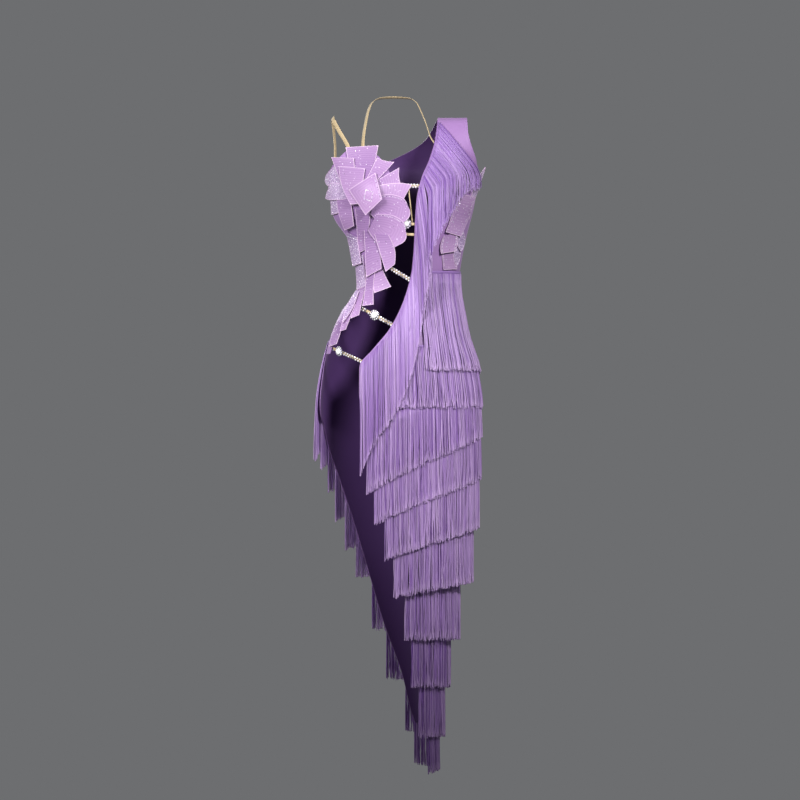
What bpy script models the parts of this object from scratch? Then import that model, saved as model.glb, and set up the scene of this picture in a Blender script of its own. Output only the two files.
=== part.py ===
"""A latin dance dress held in the shape in which it is worn.

Millimetres are used in the tables and turned to metres where a mesh is made. X runs to the viewer's right,
the front faces -Y and Z is up. The origin is between the shoulders, level with the top of the wide strap.
"""

import math
from collections import namedtuple

import bpy
import numpy as np

MM = 0.001
CLOTH = 1.5            # wall of the stretch cloth
PETAL = 1.2            # wall of a stiffened petal
SEAM = 0.3             # gap between two pieces that are sewn together
STRIP_LIFT = 1.3       # a fringe strip's stand-off from the cloth that it is sewn on
STRIP_WIDTH = 5.0
STRIP_THICK = 2.0
LOCK_PITCH = 21.5      # spacing of the locks along a tier
LOCK_SHARE = 0.84      # share of the pitch that a lock fills
STRIP_SAG = 0.56       # how far a strip's straight run may cut inside the curve
LOCK_RISE = 0.042      # how fast a lock stands further off, so that it clears the tier below
TIER_STEPS = 2         # rings down a lock of a tier, and twice as many on a long one
LONG_FALL = 150.0
WAIST = -302.0         # the seam between bodice and skirt
HEM_TIP = -1185.0
BUST_LEVEL = -150.0
BUST_HEIGHT = 26.0
BUST_SPREAD = 48.0
BUST_CENTRES = (-66.0, 78.0)
SIDE_LEFT = -math.pi   # the angle of the viewer's left side, reached through the front
SIDE_BACK = math.pi    # the same side, reached through the back

# The figure that the dress is worn on: an oval at each height, with its own depth in front and behind.
Section = namedtuple("Section", "z centre half front back")
FIGURE = [
    Section(0, 5, 165, 0.15, 0.15),
    Section(-4, 5, 165, 18, 20),
    Section(-12, 5, 165, 31, 35),
    Section(-30, 5, 163, 47, 55),
    Section(-60, 5, 156, 66, 76),
    Section(-100, 5, 148, 84, 92),
    Section(-140, 5, 145, 92, 95),
    Section(-190, 5, 136, 90, 92),
    Section(-250, 15, 111, 82, 84),
    Section(-330, 16, 99, 74, 75),
    Section(-380, 3, 118, 82, 90),
    Section(-435, -4, 134, 90, 104),
    Section(-490, -2, 148, 94, 112),
    Section(-560, -2, 155, 97, 114),
    Section(-620, -2, 155, 96, 109),
    Section(-700, 1, 150, 93, 102),
    Section(-800, 6, 133, 86, 90),
    Section(-900, 15, 100, 70, 74),
    Section(-1000, 22, 73, 56, 58),
    Section(-1100, 30, 53, 42, 44),
    Section(HEM_TIP, 35, 35, 30, 32),
]

# Cut edges, as the distance to the viewer's right at each height. The first is neckline and front opening.
Edge = namedtuple("Edge", "z x")
FRONT_EDGE = [
    Edge(0, 74), Edge(-45, 68), Edge(-84, 57), Edge(-123, 41), Edge(-162, 32), Edge(-201, 29),
    Edge(-250, 27),
    Edge(-298, 23), Edge(-337, 14), Edge(-376, 0), Edge(-415, -21), Edge(-454, -53), Edge(-487, -79),
    Edge(-540, -79.5), Edge(-590, -68), Edge(-640, -61), Edge(-685, -52), Edge(-755, -32), Edge(-826, -15),
    Edge(-905, 6), Edge(-998, 18), Edge(-1035, 23), Edge(-1093, 33.5), Edge(-1150, 48), Edge(HEM_TIP, 57),
]
ARMHOLE_RIGHT = [
    Edge(0, 131), Edge(-30, 133), Edge(-48, 137), Edge(-66, 143), Edge(-84, 149), Edge(-106, 152),
]
CUP_INNER = [
    Edge(-68, -52), Edge(-100, -25), Edge(-140, -12), Edge(-180, -8), Edge(-230, -12), Edge(-270, -24),
    Edge(-310, -44), Edge(-350, -66), Edge(-385, -90), Edge(-415, -114), Edge(-440, -129), Edge(-462, -137),
]
CUP_ARMHOLE = [Edge(-68, -106), Edge(-90, -128), Edge(-112, -142)]
BACK_NECK = [Edge(0, 74), Edge(-40, 50), Edge(-80, -20), Edge(-112, -141.9)]
BACK_HEM = [
    Edge(-560, -157), Edge(-640, -142), Edge(-700, -122), Edge(-790, -92), Edge(-890, -62), Edge(-990, -32),
    Edge(-1090, 4), Edge(-1160, 21), Edge(HEM_TIP, 30),
]

# The heights at which each panel's wall is worked out, closest where it turns most.
STRAP_LEVELS = [0, -3, -8, -16, -30, -48, -66, -82, -93]
TRUNK_LEVELS = [-103, -112, -120, -132, -146, -162, -182, -205, -230, -255, -280, WAIST + SEAM / 2]
CUP_LEVELS = [
    -68, -79, -90, -102, -114, -132, -156, -180, -196, -211, -226, -241, -256, -271, -286, -301, -316, -331,
    -346, -361, -376, -391, -406, -421, -436, -462,
]
SKIRT_LEVELS = [
    WAIST - SEAM / 2, -316, -332, -350, -370, -392, -412, -432, -455, -485, -522, -560, -600, -645,
    -692, -740, -792, -845, -898, -948, -997, -1045, -1093, -1130, -1164, HEM_TIP,
]

# Fringe tiers of the skirt, from the front end, past the viewer's right side, to the back end.
Tier = namedtuple("Tier", "name front_x root_front root_side root_back back_x end_front end_side end_back")
TIERS = [
    Tier("fringe_tier_01", 38, -306, -306, -447, -162, -493, -493, -676),
    Tier("fringe_tier_02", -20, -450, -450, -560, -152, -566, -566, -688),
    Tier("fringe_tier_03", -64, -590, -522, -628, -141, -734, -621, -735),
    Tier("fringe_tier_04", -49, -685, -600, -690, -127, -794, -704, -790),
    Tier("fringe_tier_05", -29, -755, -692, -748, -109, -862, -800, -846),
    Tier("fringe_tier_06", -12, -826, -792, -800, -88, -936, -905, -898),
    Tier("fringe_tier_07", 9, -905, -903, -890, -57, -1017, -1017, -1001),
    Tier("fringe_tier_08", 21, -998, -996, -988, -28, -1110, -1111, -1098),
    Tier("fringe_tier_09", 36, -1093, -1091, -1087, 8, -1208, -1207, -1199),
    Tier("fringe_tier_10", 53, -1168, -1162, -1155, 25, -1280, -1272, -1264),
]
FRONT_EASE = 1.6       # how late a tier's slope comes between the side and the front end
BACK_EASE = 1.2

# Fringe along the neckline. A row says where locks rooted at this height end.
Fall = namedtuple("Fall", "root end_x end_z")
BUST_FALLS = [
    Fall(-10, 156, -140), Fall(-38, 140, -152), Fall(-66, 119, -170), Fall(-94, 98, -204),
    Fall(-118, 75, -248),
]
APRON_FALLS = [
    Fall(-132, 58, -306), Fall(-160, 54, -342), Fall(-200, 46, -384), Fall(-250, 38, -430),
    Fall(-298, 29, -476), Fall(-337, 20, -512), Fall(-376, 6, -548), Fall(-415, -15, -588),
    Fall(-454, -47, -636), Fall(-487, -73, -697),
]
Neckline = namedtuple("Neckline", "name falls locks steps width rise most_lift held")
NECKLINES = [          # rise is how fast a lock lifts off as it falls; held locks lie on the bust first
    Neckline("fringe_bust", BUST_FALLS, 12, 6, 9.0, 0.10, 9.5, True),
    Neckline("fringe_apron", APRON_FALLS, 27, 5, 6.0, 0.11, 9.0, False),
]
STRIP_INSET = 1.0      # from the neckline's edge to the strip
STEP_POWER = 1.3       # a neckline lock's rings lie closer together at its root
APRON_LAYER = 3.4      # every second hanging lock lies this far in front of the others

# Petals, in the front view: root and tip, the widest width, outline, sideways slant of the tip and of the
# root, layer, and how much further the tip stands off than the root.
Leaf = namedtuple("Leaf", "name root_x root_z tip_x tip_z width shape slant lean layer flare")
PETAL_SHAPES = {       # half widths from the root to the tip, as shares of the widest
    "kite": (0.80, 0.95, 1.00, 0.62, 0.05),
    "leaf": (0.45, 0.85, 1.00, 0.72, 0.10),
    "lobe": (0.55, 0.85, 1.00, 0.96, 0.50),
    "flare": (0.45, 0.58, 0.72, 0.86, 1.00),
    "square": (0.50, 0.74, 0.92, 1.00, 0.86),
}
LEAVES = [
    Leaf("petal_01", -73, -131, -69, -64, 57, "flare", -0.06, 0, 1.0, 3),
    Leaf("petal_02", -97, -128, -118, -85, 38, "flare", 0.20, 0, 2.1, 3),
    Leaf("petal_03", -63, -136, -28, -86, 33, "flare", -0.10, 0, 2.1, 3),
    Leaf("petal_04", -59, -143, 0, -117, 30, "flare", 0.08, 0, 0.9, 2.5),
    Leaf("petal_05", -55, -153, 12, -156, 48, "square", 0.15, 0, 2.0, 3),
    Leaf("petal_06", -53, -176, 13, -192, 61, "lobe", 0.00, 0, 3.2, 3),
    Leaf("petal_07", -54, -208, 5, -238, 62, "lobe", 0.00, 0, 2.05, 3),
    Leaf("petal_08", -90, -138, -143, -116, 36, "square", 0.10, 0, 1.0, 3),
    Leaf("petal_09", -92, -151, -143, -144, 34, "square", 0.10, 0, 2.1, 3),
    Leaf("petal_10", -94, -166, -137, -174, 34, "square", 0.10, 0, 1.0, 1.5),
    Leaf("petal_11", -55, -154, -103, -151, 76, "square", -0.34, 0, 3.6, 2.5),
    Leaf("petal_12", -69, -137, -67, -201, 57, "kite", 0.00, -0.19, 5.25, 2.5),
    Leaf("petal_13", -74, -182, -70, -260, 27, "square", 0.05, 0, 1.0, 1.5),
    Leaf("petal_14", -100, -174, -94, -228, 37, "leaf", 0.05, 0, 2.2, 3),
    Leaf("petal_15", -44, -222, -18, -299, 38, "square", 0.10, 0, 1.15, 3),
    Leaf("petal_16", -44, -277, -34, -341, 35, "flare", -0.08, 0, 0.8, 2.5),
    Leaf("petal_17", -58, -300, -62, -370, 21, "flare", 0.00, 0, 1.95, 1.5),
    Leaf("petal_18", -71, -335, -83, -394, 20, "flare", -0.10, 0, 1.2, 1),
    Leaf("petal_19", -86, -366, -108, -423, 16, "flare", -0.10, 0, 2.4, 1.5),
    Leaf("petal_20", -111, -407, -128, -450, 16, "flare", -0.10, 0, 0.9, 2),
    Leaf("petal_21", -94, -224, -86, -284, 17, "leaf", 0.00, 0, 2.3, 1.5),
    Leaf("petal_22", -78, -279, -73, -333, 14, "leaf", 0.00, 0, 1.0, 1),
    Leaf("petal_23", -84, -339, -112, -401, 12, "leaf", 0.00, 0, 3.5, 1.5),
    Leaf("petal_24", -66, -252, -64, -318, 23, "leaf", 0.00, 0, 2.45, 1.5),
    Leaf("petal_25", 141, -164, 168, -98, 14, "leaf", 0.00, 0, 1.0, 14),
    Leaf("petal_26", 116, -196, 130, -156, 26, "square", 0.10, 0, 1.0, 3),
    Leaf("petal_27", 116, -190, 104, -228, 30, "square", 0.00, 0, 2.05, 3),
    Leaf("petal_28", 119, -222, 119, -262, 18, "leaf", 0.00, 0, 1.0, 3),
    Leaf("petal_29", 102, -224, 86, -284, 34, "lobe", 0.10, 0, 2.3, 3),
    Leaf("petal_30", 113, -246, 110, -292, 15, "leaf", 0.00, 0, 0.8, 2),
    Leaf("petal_31", 92, -260, 86, -294, 25, "square", 0.00, 0, 0.8, 2),
]
WIDE_PETAL = 45        # a wider petal is worked out in five rows across, to follow the figure
PETAL_TURN = 0.95      # past this share of the figure's half width, a petal bends round the side
LAYER_LIFT = 2.1       # stand-off of the first petal layer and of each one from the last

# Jewelled bands across the open front, from the cup to the front edge. A stone widens its band.
# Each end passes under the cloth's edge, lower where the cloth turns sharply.
Band = namedtuple("Band", "name left_z right_z width under stone")
BANDS = [
    Band("band_01", -137, -137, 6, -3.4, None),
    Band("band_02", -208, -211, 6, -3.0, 0.55),
    Band("band_03", -230, -231, 5, -3.0, None),
    Band("band_04", -286, -320, 6, -2.9, None),
    Band("band_05", -370, -407, 6, -4.6, 0.36),
    Band("band_06", -450, -478, 6, -3.2, 0.26),
]
BAND_HOLD = 3.0        # how far a band runs under the cloth's edge at each end
BAND_RISE = 2.4        # how much further out its middle is than its ends
BAND_THICK = 2.0
STONE_WIDTH = 13.0
STONE_THICK = 5.5

# The narrow straps' routes. A row on the figure has a lift off it; the others are points in space.
STRAP_WIDTH = 6.0
STRAP_THICK = 1.2
HALTER_THIN = 3.0      # width of the neck strap on its way down to the neckline
Way = namedtuple("Way", "x z lift")
SHOULDER_FRONT = [
    Way(-100, -72, -3.4), Way(-103, -60, -2.8), Way(-110, -44, -1.0), Way(-119, -27, 0.5),
    Way(-127, -12, 0.5), Way(-131, -4, 0.5),
]
SHOULDER_TOP = (-132.0, 0.0, 0.8)
SHOULDER_BACK = [
    Way(-132, -4, 0.5), Way(-131, -14, 0.5), Way(-129, -34, 0.5), Way(-127, -62, 0.8), Way(-126, -94, 1.9),
    Way(-125, -112, 2.0),
]
SHOULDER_CENTRE = (-60.0, 0.0, -60.0)
SHOULDER_STATIONS = 22
HALTER_CUP = [Way(-76, -74, -4.4), Way(-75, -64, -3.6), Way(-73, -48, -1.0)]
HALTER_NECK = [
    (-67, -30, -8), (-61, -10, 18), (-53, 12, 33), (-38, 37, 41), (-12, 49, 43), (15, 38, 41), (31, 13, 33),
    (41, -8, 14), (52, -25, -14),
]
HALTER_EDGE = [Way(61, -40, -2.4), Way(69, -52, -3.6)]
HALTER_CENTRE = (-12.0, 0.0, -40.0)
HALTER_STATIONS = 34

COLOURS = {            # base colour, roughness
    "lycra": ((0.47, 0.28, 0.58), 0.55),
    "fringe": ((0.42, 0.26, 0.57), 0.40),
    "petal": ((0.62, 0.43, 0.70), 0.60),
    "nude_elastic": ((0.58, 0.40, 0.27), 0.60),
    "rhinestone": ((0.80, 0.80, 0.84), 0.15),
}


def smooth(at, knots, values):
    """Cubic curve through the values that never overshoots them, read at the given places."""
    knots = np.asarray(knots, float)
    values = np.asarray(values, float)
    at = np.clip(at, knots[0], knots[-1])
    step = np.diff(knots)
    rise = np.diff(values) / step
    slope = np.concatenate([rise[:1], np.zeros(len(rise) - 1), rise[-1:]])
    same = rise[:-1] * rise[1:] > 0
    slope[1:-1][same] = 2 * (rise[:-1] * rise[1:])[same] / (rise[:-1] + rise[1:])[same]
    cell = np.clip(np.searchsorted(knots, at) - 1, 0, len(step) - 1)
    t = (at - knots[cell]) / step[cell]
    start = (1 + 2 * t) * (1 - t) ** 2 * values[cell] + t * (1 - t) ** 2 * step[cell] * slope[cell]
    end = t * t * (3 - 2 * t) * values[cell + 1] + t * t * (t - 1) * step[cell] * slope[cell + 1]
    return start + end


def column(rows, field, z):
    """One named column of a table of heights, read at any height."""
    rows = sorted(rows, key=lambda row: row.z)
    return smooth(z, [row.z for row in rows], [getattr(row, field) for row in rows])


def bust(x, z):
    """How far the two cups stand out of the oval."""
    level = ((z - BUST_LEVEL) / BUST_SPREAD) ** 2
    return sum(BUST_HEIGHT * np.exp(-level - ((x - c) / BUST_SPREAD) ** 2) for c in BUST_CENTRES)


def figure(angle, z, lift=0.0):
    """Points at an angle round the figure (0 = viewer's right, -90 degrees = front), lifted off it."""
    angle, z, lift = np.broadcast_arrays(*(np.asarray(value, float) for value in (angle, z, lift)))
    x = column(FIGURE, "centre", z) + (column(FIGURE, "half", z) + lift) * np.cos(angle)
    front = np.sin(angle) < 0
    depth = np.where(front, column(FIGURE, "front", z), column(FIGURE, "back", z)) + lift
    y = depth * np.sin(angle) - np.where(front, -np.sin(angle), 0.0) * bust(x, z)
    return np.stack([x, y, z], axis=-1)


def angle_of(x, z, lift=0.0):
    """The angle, on the front half, at which the lifted figure lies at this distance to the right."""
    share = (x - column(FIGURE, "centre", z)) / (column(FIGURE, "half", z) + lift)
    return -np.arccos(np.clip(share, -0.9999, 0.9999))


def front(x, z, lift=0.0):
    return figure(angle_of(x, z, lift), z, lift)


def keep_outside(points, lift):
    """Points that would lie inside the lifted figure are moved straight out to it."""
    x, y, z = points[..., 0], points[..., 1], points[..., 2]
    centre = column(FIGURE, "centre", z)
    depth = np.where(y < 0, column(FIGURE, "front", z), column(FIGURE, "back", z)) + lift
    cup = np.where(y < 0, bust(x, z) * np.clip(-y / depth, 0, 1), 0.0)
    share = np.hypot((x - centre) / (column(FIGURE, "half", z) + lift), (y + cup) / depth)
    grow = 1 / np.clip(share, 0.2, 1.0)
    return np.stack([centre + (x - centre) * grow, (y + cup) * grow - cup, z], axis=-1)


def material(kind):
    found = bpy.data.materials.get(kind)
    if found:
        return found
    colour, roughness = COLOURS[kind]
    made = bpy.data.materials.new(kind)
    made.use_nodes = True
    shader = made.node_tree.nodes["Principled BSDF"]
    shader.inputs["Base Color"].default_value = (*colour, 1.0)
    shader.inputs["Roughness"].default_value = roughness
    shader.inputs["Metallic"].default_value = 0.0
    return made


def add_object(name, points, faces, kind):
    mesh = bpy.data.meshes.new(name)
    mesh.from_pydata((np.asarray(points) * MM).tolist(), [], faces)
    mesh.update()
    made = bpy.data.objects.new(name, mesh)
    made.data.materials.append(material(kind))
    bpy.context.scene.collection.objects.link(made)
    return made


def grid_faces(rows, columns):
    return [
        (i * columns + j, (i + 1) * columns + j, (i + 1) * columns + j + 1, i * columns + j + 1)
        for i in range(rows - 1) for j in range(columns - 1)
    ]


def shell(name, outer, inner, kind):
    """A wall between two grids of points. From outside, the rows run down and the columns to the right."""
    rows, columns = outer.shape[:2]
    count = rows * columns
    outside = grid_faces(rows, columns)
    faces = outside + [tuple(count + i for i in reversed(face)) for face in outside]
    rim = list(range(columns)) + [i * columns + columns - 1 for i in range(1, rows)]
    rim += [count - 1 - j for j in range(1, columns)] + [i * columns for i in range(rows - 2, 0, -1)]
    faces += [(a, b, count + b, count + a) for a, b in zip(rim, rim[1:] + rim[:1])]
    made = add_object(name, np.concatenate([outer.reshape(-1, 3), inner.reshape(-1, 3)]), faces, kind)
    made.data.shade_smooth()
    made.data.set_sharp_from_angle(angle=math.radians(50))
    return made


def panel(name, levels, first, last, columns):
    """A panel of cloth between two edges, each an angle for every level, the first one the smaller."""
    share = np.linspace(0, 1, columns)[None, :]
    angle = first[:, None] * (1 - share) + last[:, None] * share
    z = levels[:, None] + 0.0 * angle
    turn, step = 0.002, 0.5
    below = np.minimum(z, -step)
    to_right = figure(angle + turn, z) - figure(angle - turn, z)
    down = figure(angle, below - step) - figure(angle, below + step)
    normal = np.cross(down, to_right)
    normal /= np.linalg.norm(normal, axis=-1)[..., None]
    normal[levels == 0] = (0.0, 0.0, 1.0)
    outer = figure(angle, z)
    return shell(name, outer, outer - CLOTH * normal, "lycra")


def side_gap(z):
    """The angle of half a seam at the side."""
    return 0.5 * SEAM / np.minimum(column(FIGURE, "front", z), column(FIGURE, "back", z))


def bodice():
    levels = np.array(STRAP_LEVELS + TRUNK_LEVELS, float)
    trunk = levels <= TRUNK_LEVELS[0]
    arm = angle_of(column(ARMHOLE_RIGHT, "x", levels), levels)
    arm[trunk] = -side_gap(levels[trunk])
    panel("bodice_front", levels, angle_of(column(FRONT_EDGE, "x", levels), levels), arm, 11)

    neck = -angle_of(column(BACK_NECK, "x", levels), levels)
    closed = levels < BACK_NECK[-1].z
    neck[closed] = SIDE_BACK - side_gap(levels[closed])
    arm = -angle_of(column(ARMHOLE_RIGHT, "x", levels), levels)
    arm[trunk] = side_gap(levels[trunk])
    panel("bodice_back", levels, arm, neck, 12)

    levels = np.array(CUP_LEVELS, float)
    side = angle_of(column(CUP_ARMHOLE, "x", levels), levels)
    closed = levels < CUP_ARMHOLE[-1].z
    side[closed] = SIDE_LEFT + side_gap(levels[closed])
    panel("cup_left", levels, side, angle_of(column(CUP_INNER, "x", levels), levels), 9)


def skirt():
    levels = np.array(SKIRT_LEVELS)
    gap = side_gap(levels)
    panel("skirt_front", levels, angle_of(column(FRONT_EDGE, "x", levels), levels), -gap, 10)
    hem = -angle_of(column(BACK_HEM, "x", levels), levels)
    closed = levels >= BACK_HEM[0].z
    hem[closed] = SIDE_BACK - gap[closed]
    panel("skirt_back", levels, gap, hem, 12)


def fringe(name, upper, lower, locks):
    """A strip of four sides with a lock grown from its lower side between every second pair of stations.

    upper and lower hold, for each station, the strip's inner and outer corner. locks holds, for each lock,
    its rings of four corners: outer and inner at the first station, then inner and outer at the second.
    """
    stations = len(upper)
    points = np.concatenate([upper, lower], axis=1).reshape(-1, 3)
    faces = []
    for k in range(stations - 1):
        a, b = 4 * k, 4 * (k + 1)
        faces += [(a, a + 1, b + 1, b), (a + 1, a + 3, b + 3, b + 1), (a + 2, a, b, b + 2)]
        if k % 2:
            faces.append((a + 3, a + 2, b + 2, b + 3))
    last = 4 * (stations - 1)
    faces += [(0, 2, 3, 1), (last, last + 1, last + 3, last + 2)]
    for i, rings in enumerate(locks):
        a, b = 8 * i, 8 * i + 4
        rim = [a + 3, a + 2, b + 2, b + 3]
        for ring in rings:
            start = len(points)
            points = np.concatenate([points, ring])
            new = [start, start + 1, start + 2, start + 3]
            faces += [(rim[j], rim[(j + 1) % 4], new[(j + 1) % 4], new[j]) for j in range(4)]
            rim = new
        faces.append(tuple(rim))
    return add_object(name, points, faces, "fringe")


def ring_of(first, second, out, thick):
    """Four corners of a lock from its two inner corners."""
    return np.stack([first + out * thick, first, second, second + out * thick])


def tier(row):
    """A tier of hanging locks: straight down, or pushed out by the figure and by the tier below."""
    root_mid = (row.root_front + row.root_side + row.root_back) / 3
    first = float(angle_of(row.front_x, row.root_front))
    last = -float(angle_of(row.back_x, row.root_back))
    size = float(column(FIGURE, "half", root_mid) + column(FIGURE, "back", root_mid)) / 2
    count = round((last - first) * size / min(LOCK_PITCH, math.sqrt(8 * STRIP_SAG * size)))
    pitch = (last - first) / count
    starts = first + pitch * np.arange(count)
    angles = np.stack([starts, starts + pitch * LOCK_SHARE], axis=1).reshape(-1)

    def level(front_z, side_z, back_z):
        ahead = (np.clip(angles / first, 0, 1)) ** FRONT_EASE
        behind = (np.clip(angles / last, 0, 1)) ** BACK_EASE
        return side_z + (front_z - side_z) * ahead + (back_z - side_z) * behind

    root = level(row.root_front, row.root_side, row.root_back)
    fall = root - level(row.end_front, row.end_side, row.end_back)
    lifts = np.array([STRIP_LIFT, STRIP_LIFT + STRIP_THICK])
    strip = [figure(angles[:, None], z[:, None], lifts) for z in (root + STRIP_WIDTH, root)]
    steps = TIER_STEPS * 2 if fall.max() > LONG_FALL else TIER_STEPS
    points = strip[1][:, 0]
    out = strip[1][:, 1] - strip[1][:, 0]
    out /= np.linalg.norm(out, axis=1)[:, None]
    hung = []
    for j in range(steps):
        points = points - np.array([0, 0, 1]) * (fall / steps)[:, None]
        points = keep_outside(points, STRIP_LIFT + LOCK_RISE * fall * (j + 1) / steps)
        hung.append(points)
    locks = [
        [ring_of(p[2 * i], p[2 * i + 1], out[2 * i], STRIP_THICK) for p in hung]
        for i in range(count)
    ]
    fringe(row.name, strip[0], strip[1], locks)


def neckline_roots(row):
    """The heights of the two sides of each lock, evenly spaced along the neckline, from the lowest up."""
    low, high = row.falls[-1].root, row.falls[0].root
    fine = np.linspace(low, high, int(high - low))
    path = np.hypot(np.gradient(fine), np.gradient(column(FRONT_EDGE, "x", fine)))
    path = np.concatenate([[0], np.cumsum(path[1:])])
    places = np.arange(row.locks)[:, None] + np.array([0.0, LOCK_SHARE])
    return np.interp(places.reshape(-1) / (row.locks - 1 + LOCK_SHARE) * path[-1], path, fine)


def neckline_fringe(row):
    """Locks rooted along the neckline, lying on the bust first or hanging straight from their roots."""
    z = neckline_roots(row)
    edge = column(FRONT_EDGE, "x", z)
    lifts = np.array([STRIP_LIFT, STRIP_LIFT + STRIP_THICK])
    strip = [
        front((edge + inset)[:, None], z[:, None], lifts)
        for inset in (STRIP_INSET, STRIP_INSET + STRIP_WIDTH)
    ]
    roots = [-fall.root for fall in row.falls]
    end_x = smooth(-z, roots, [fall.end_x for fall in row.falls])
    end_z = smooth(-z, roots, [fall.end_z for fall in row.falls])
    start = strip[1][:, 0]
    points = start
    hung = []
    for j in range(1, row.steps + 1):
        t = (j / row.steps) ** STEP_POWER
        x = start[:, 0] + (end_x - start[:, 0]) * (1 - (1 - t) ** 2)
        level = z + (end_z - z) * t
        lift = np.minimum(STRIP_LIFT + row.rise * (z - level), row.most_lift)
        if row.held:
            on_figure = front(x, level, lift)
            on_bust = front(x, np.maximum(level, BUST_LEVEL), lift)
            points = np.stack([x, np.minimum(on_figure[:, 1], on_bust[:, 1]), level], axis=1)
        else:
            points = keep_outside(np.stack([x, points[:, 1], level], axis=1), lift)
        hung.append(points)
    ahead = np.array([0.0, -1.0, 0.0])
    locks = []
    for i in range(row.locks):
        layer = APRON_LAYER if i % 2 and not row.held else 0.0
        rings = []
        for j, p in enumerate(hung):
            middle = (p[2 * i] + p[2 * i + 1]) / 2 + ahead * layer * min(1.0, 1.5 * (j + 1) / row.steps)
            wide = p[2 * i + 1] - p[2 * i] if row.held else np.array([1.0, 0.0, 0.0])
            wide = wide / np.linalg.norm(wide) * row.width / 2
            rings.append(ring_of(middle - wide, middle + wide, ahead, STRIP_THICK))
        locks.append(rings)
    fringe(row.name, strip[0], strip[1], locks)


def petal(row):
    """A stiff leaf over the figure, standing further off towards its tip."""
    stations = len(PETAL_SHAPES[row.shape])
    along = np.linspace(0, 1, stations)[:, None]
    across = np.linspace(-1, 1, 5 if row.width > WIDE_PETAL else 3)[None, :]
    half = np.array(PETAL_SHAPES[row.shape])[:, None] * row.width / 2
    run = np.array([row.tip_x - row.root_x, row.tip_z - row.root_z], float)
    side = np.array([-run[1], run[0]]) / np.linalg.norm(run)
    t = along + row.slant * across * along ** 2 + row.lean * across * (1 - along) ** 2
    x = row.root_x + run[0] * t + side[0] * half * across
    z = row.root_z + run[1] * t + side[1] * half * across
    lift = LAYER_LIFT * row.layer + row.flare * along ** 2 + 0.0 * across
    share = (x - column(FIGURE, "centre", z)) / (column(FIGURE, "half", z) + lift)
    past = np.maximum(np.abs(share) - PETAL_TURN, 0) / (1 - PETAL_TURN)
    share = np.clip(share, -PETAL_TURN, PETAL_TURN) + np.sign(share) * (1 - PETAL_TURN) * np.tanh(past)
    angle = -np.arccos(share)
    shell(row.name, figure(angle, z, lift), figure(angle, z, lift - PETAL), "petal")


def ribbon(name, points, outward, widths, thicks, kind):
    """A band of four sides along the points, its outer face on them."""
    run = np.gradient(points, axis=0)
    run /= np.linalg.norm(run, axis=1)[:, None]
    outward = outward - run * np.einsum("ij,ij->i", outward, run)[:, None]
    outward /= np.linalg.norm(outward, axis=1)[:, None]
    wide = np.cross(run, outward) * np.asarray(widths)[:, None] / 2
    deep = outward * np.asarray(thicks)[:, None]
    corners = np.stack([points - wide, points + wide, points + wide - deep, points - wide - deep], axis=1)
    faces = [
        (4 * k + j, 4 * k + (j + 1) % 4, 4 * k + 4 + (j + 1) % 4, 4 * k + 4 + j)
        for k in range(len(points) - 1) for j in range(4)
    ]
    end = 4 * (len(points) - 1)
    faces += [(3, 2, 1, 0), (end, end + 1, end + 2, end + 3)]
    add_object(name, corners.reshape(-1, 3), faces, kind)


def band(row):
    """A jewelled band: its ends under the cloth, its middle flush with it, wider round a large stone."""
    left_x = float(column(CUP_INNER, "x", row.left_z)) - BAND_HOLD
    right_x = float(column(FRONT_EDGE, "x", row.right_z)) + BAND_HOLD
    t = np.array([0, 0.12, 0.3, 0.5, 0.7, 0.88, 1.0])
    if row.stone:
        reach = 0.5 * STONE_WIDTH / math.hypot(right_x - left_x, row.right_z - row.left_z)
        clear = t[abs(t - row.stone) > 1.8 * reach]
        t = np.unique(np.concatenate([clear, row.stone + reach * np.array([-1.2, -0.6, 0.6, 1.2])]))
    x = left_x + (right_x - left_x) * t
    z = row.left_z + (row.right_z - row.left_z) * t
    near = np.abs(t - row.stone) < 0.8 * reach if row.stone else np.zeros(len(t), bool)
    lift = row.under + BAND_RISE * np.sin(math.pi * t) + np.where(near, STONE_THICK - BAND_THICK, 0)
    points = front(x, z, lift)
    axis = np.stack([column(FIGURE, "centre", z), 0 * z, z], axis=1)
    widths = np.where(near, STONE_WIDTH, row.width)
    thicks = np.where(near, STONE_THICK, BAND_THICK)
    kind = "nude_elastic" if row.name == "band_03" else "rhinestone"
    ribbon(row.name, points, points - axis, widths, thicks, kind)


def through(route, count):
    """A smooth curve through the points of a route."""
    route = np.asarray(route, float)
    length = np.concatenate([[0], np.cumsum(np.linalg.norm(np.diff(route, axis=0), axis=1))])
    at = np.linspace(0, length[-1], count)
    return np.stack([smooth(at, length, route[:, i]) for i in range(3)], axis=1)


def on_figure(rows, side):
    """The points of a strap's rows, each at its own lift, on the front (side = 1) or the back (side = -1)."""
    x, z, lift = np.array(rows, float).T
    return figure(side * angle_of(x, z), z, lift)


def straps():
    """The narrow elastic straps: one over the far shoulder, one from cup to neckline round the neck."""
    route = np.concatenate([on_figure(SHOULDER_FRONT, 1), [SHOULDER_TOP], on_figure(SHOULDER_BACK, -1)])
    path = through(route, SHOULDER_STATIONS)
    widths = np.full(SHOULDER_STATIONS, STRAP_WIDTH)
    thicks = np.full(SHOULDER_STATIONS, STRAP_THICK)
    ribbon("strap_shoulder", path, path - SHOULDER_CENTRE, widths, thicks, "nude_elastic")

    route = np.concatenate([on_figure(HALTER_CUP, 1), HALTER_NECK, on_figure(HALTER_EDGE, 1)])
    path = through(route, HALTER_STATIONS)
    share = np.linspace(0, 1, HALTER_STATIONS)
    widths = STRAP_WIDTH + (HALTER_THIN - STRAP_WIDTH) * np.clip((share - 0.5) * 4, 0, 1)
    thicks = np.full(HALTER_STATIONS, STRAP_THICK)
    ribbon("strap_halter", path, path - HALTER_CENTRE, widths, thicks, "nude_elastic")


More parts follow.
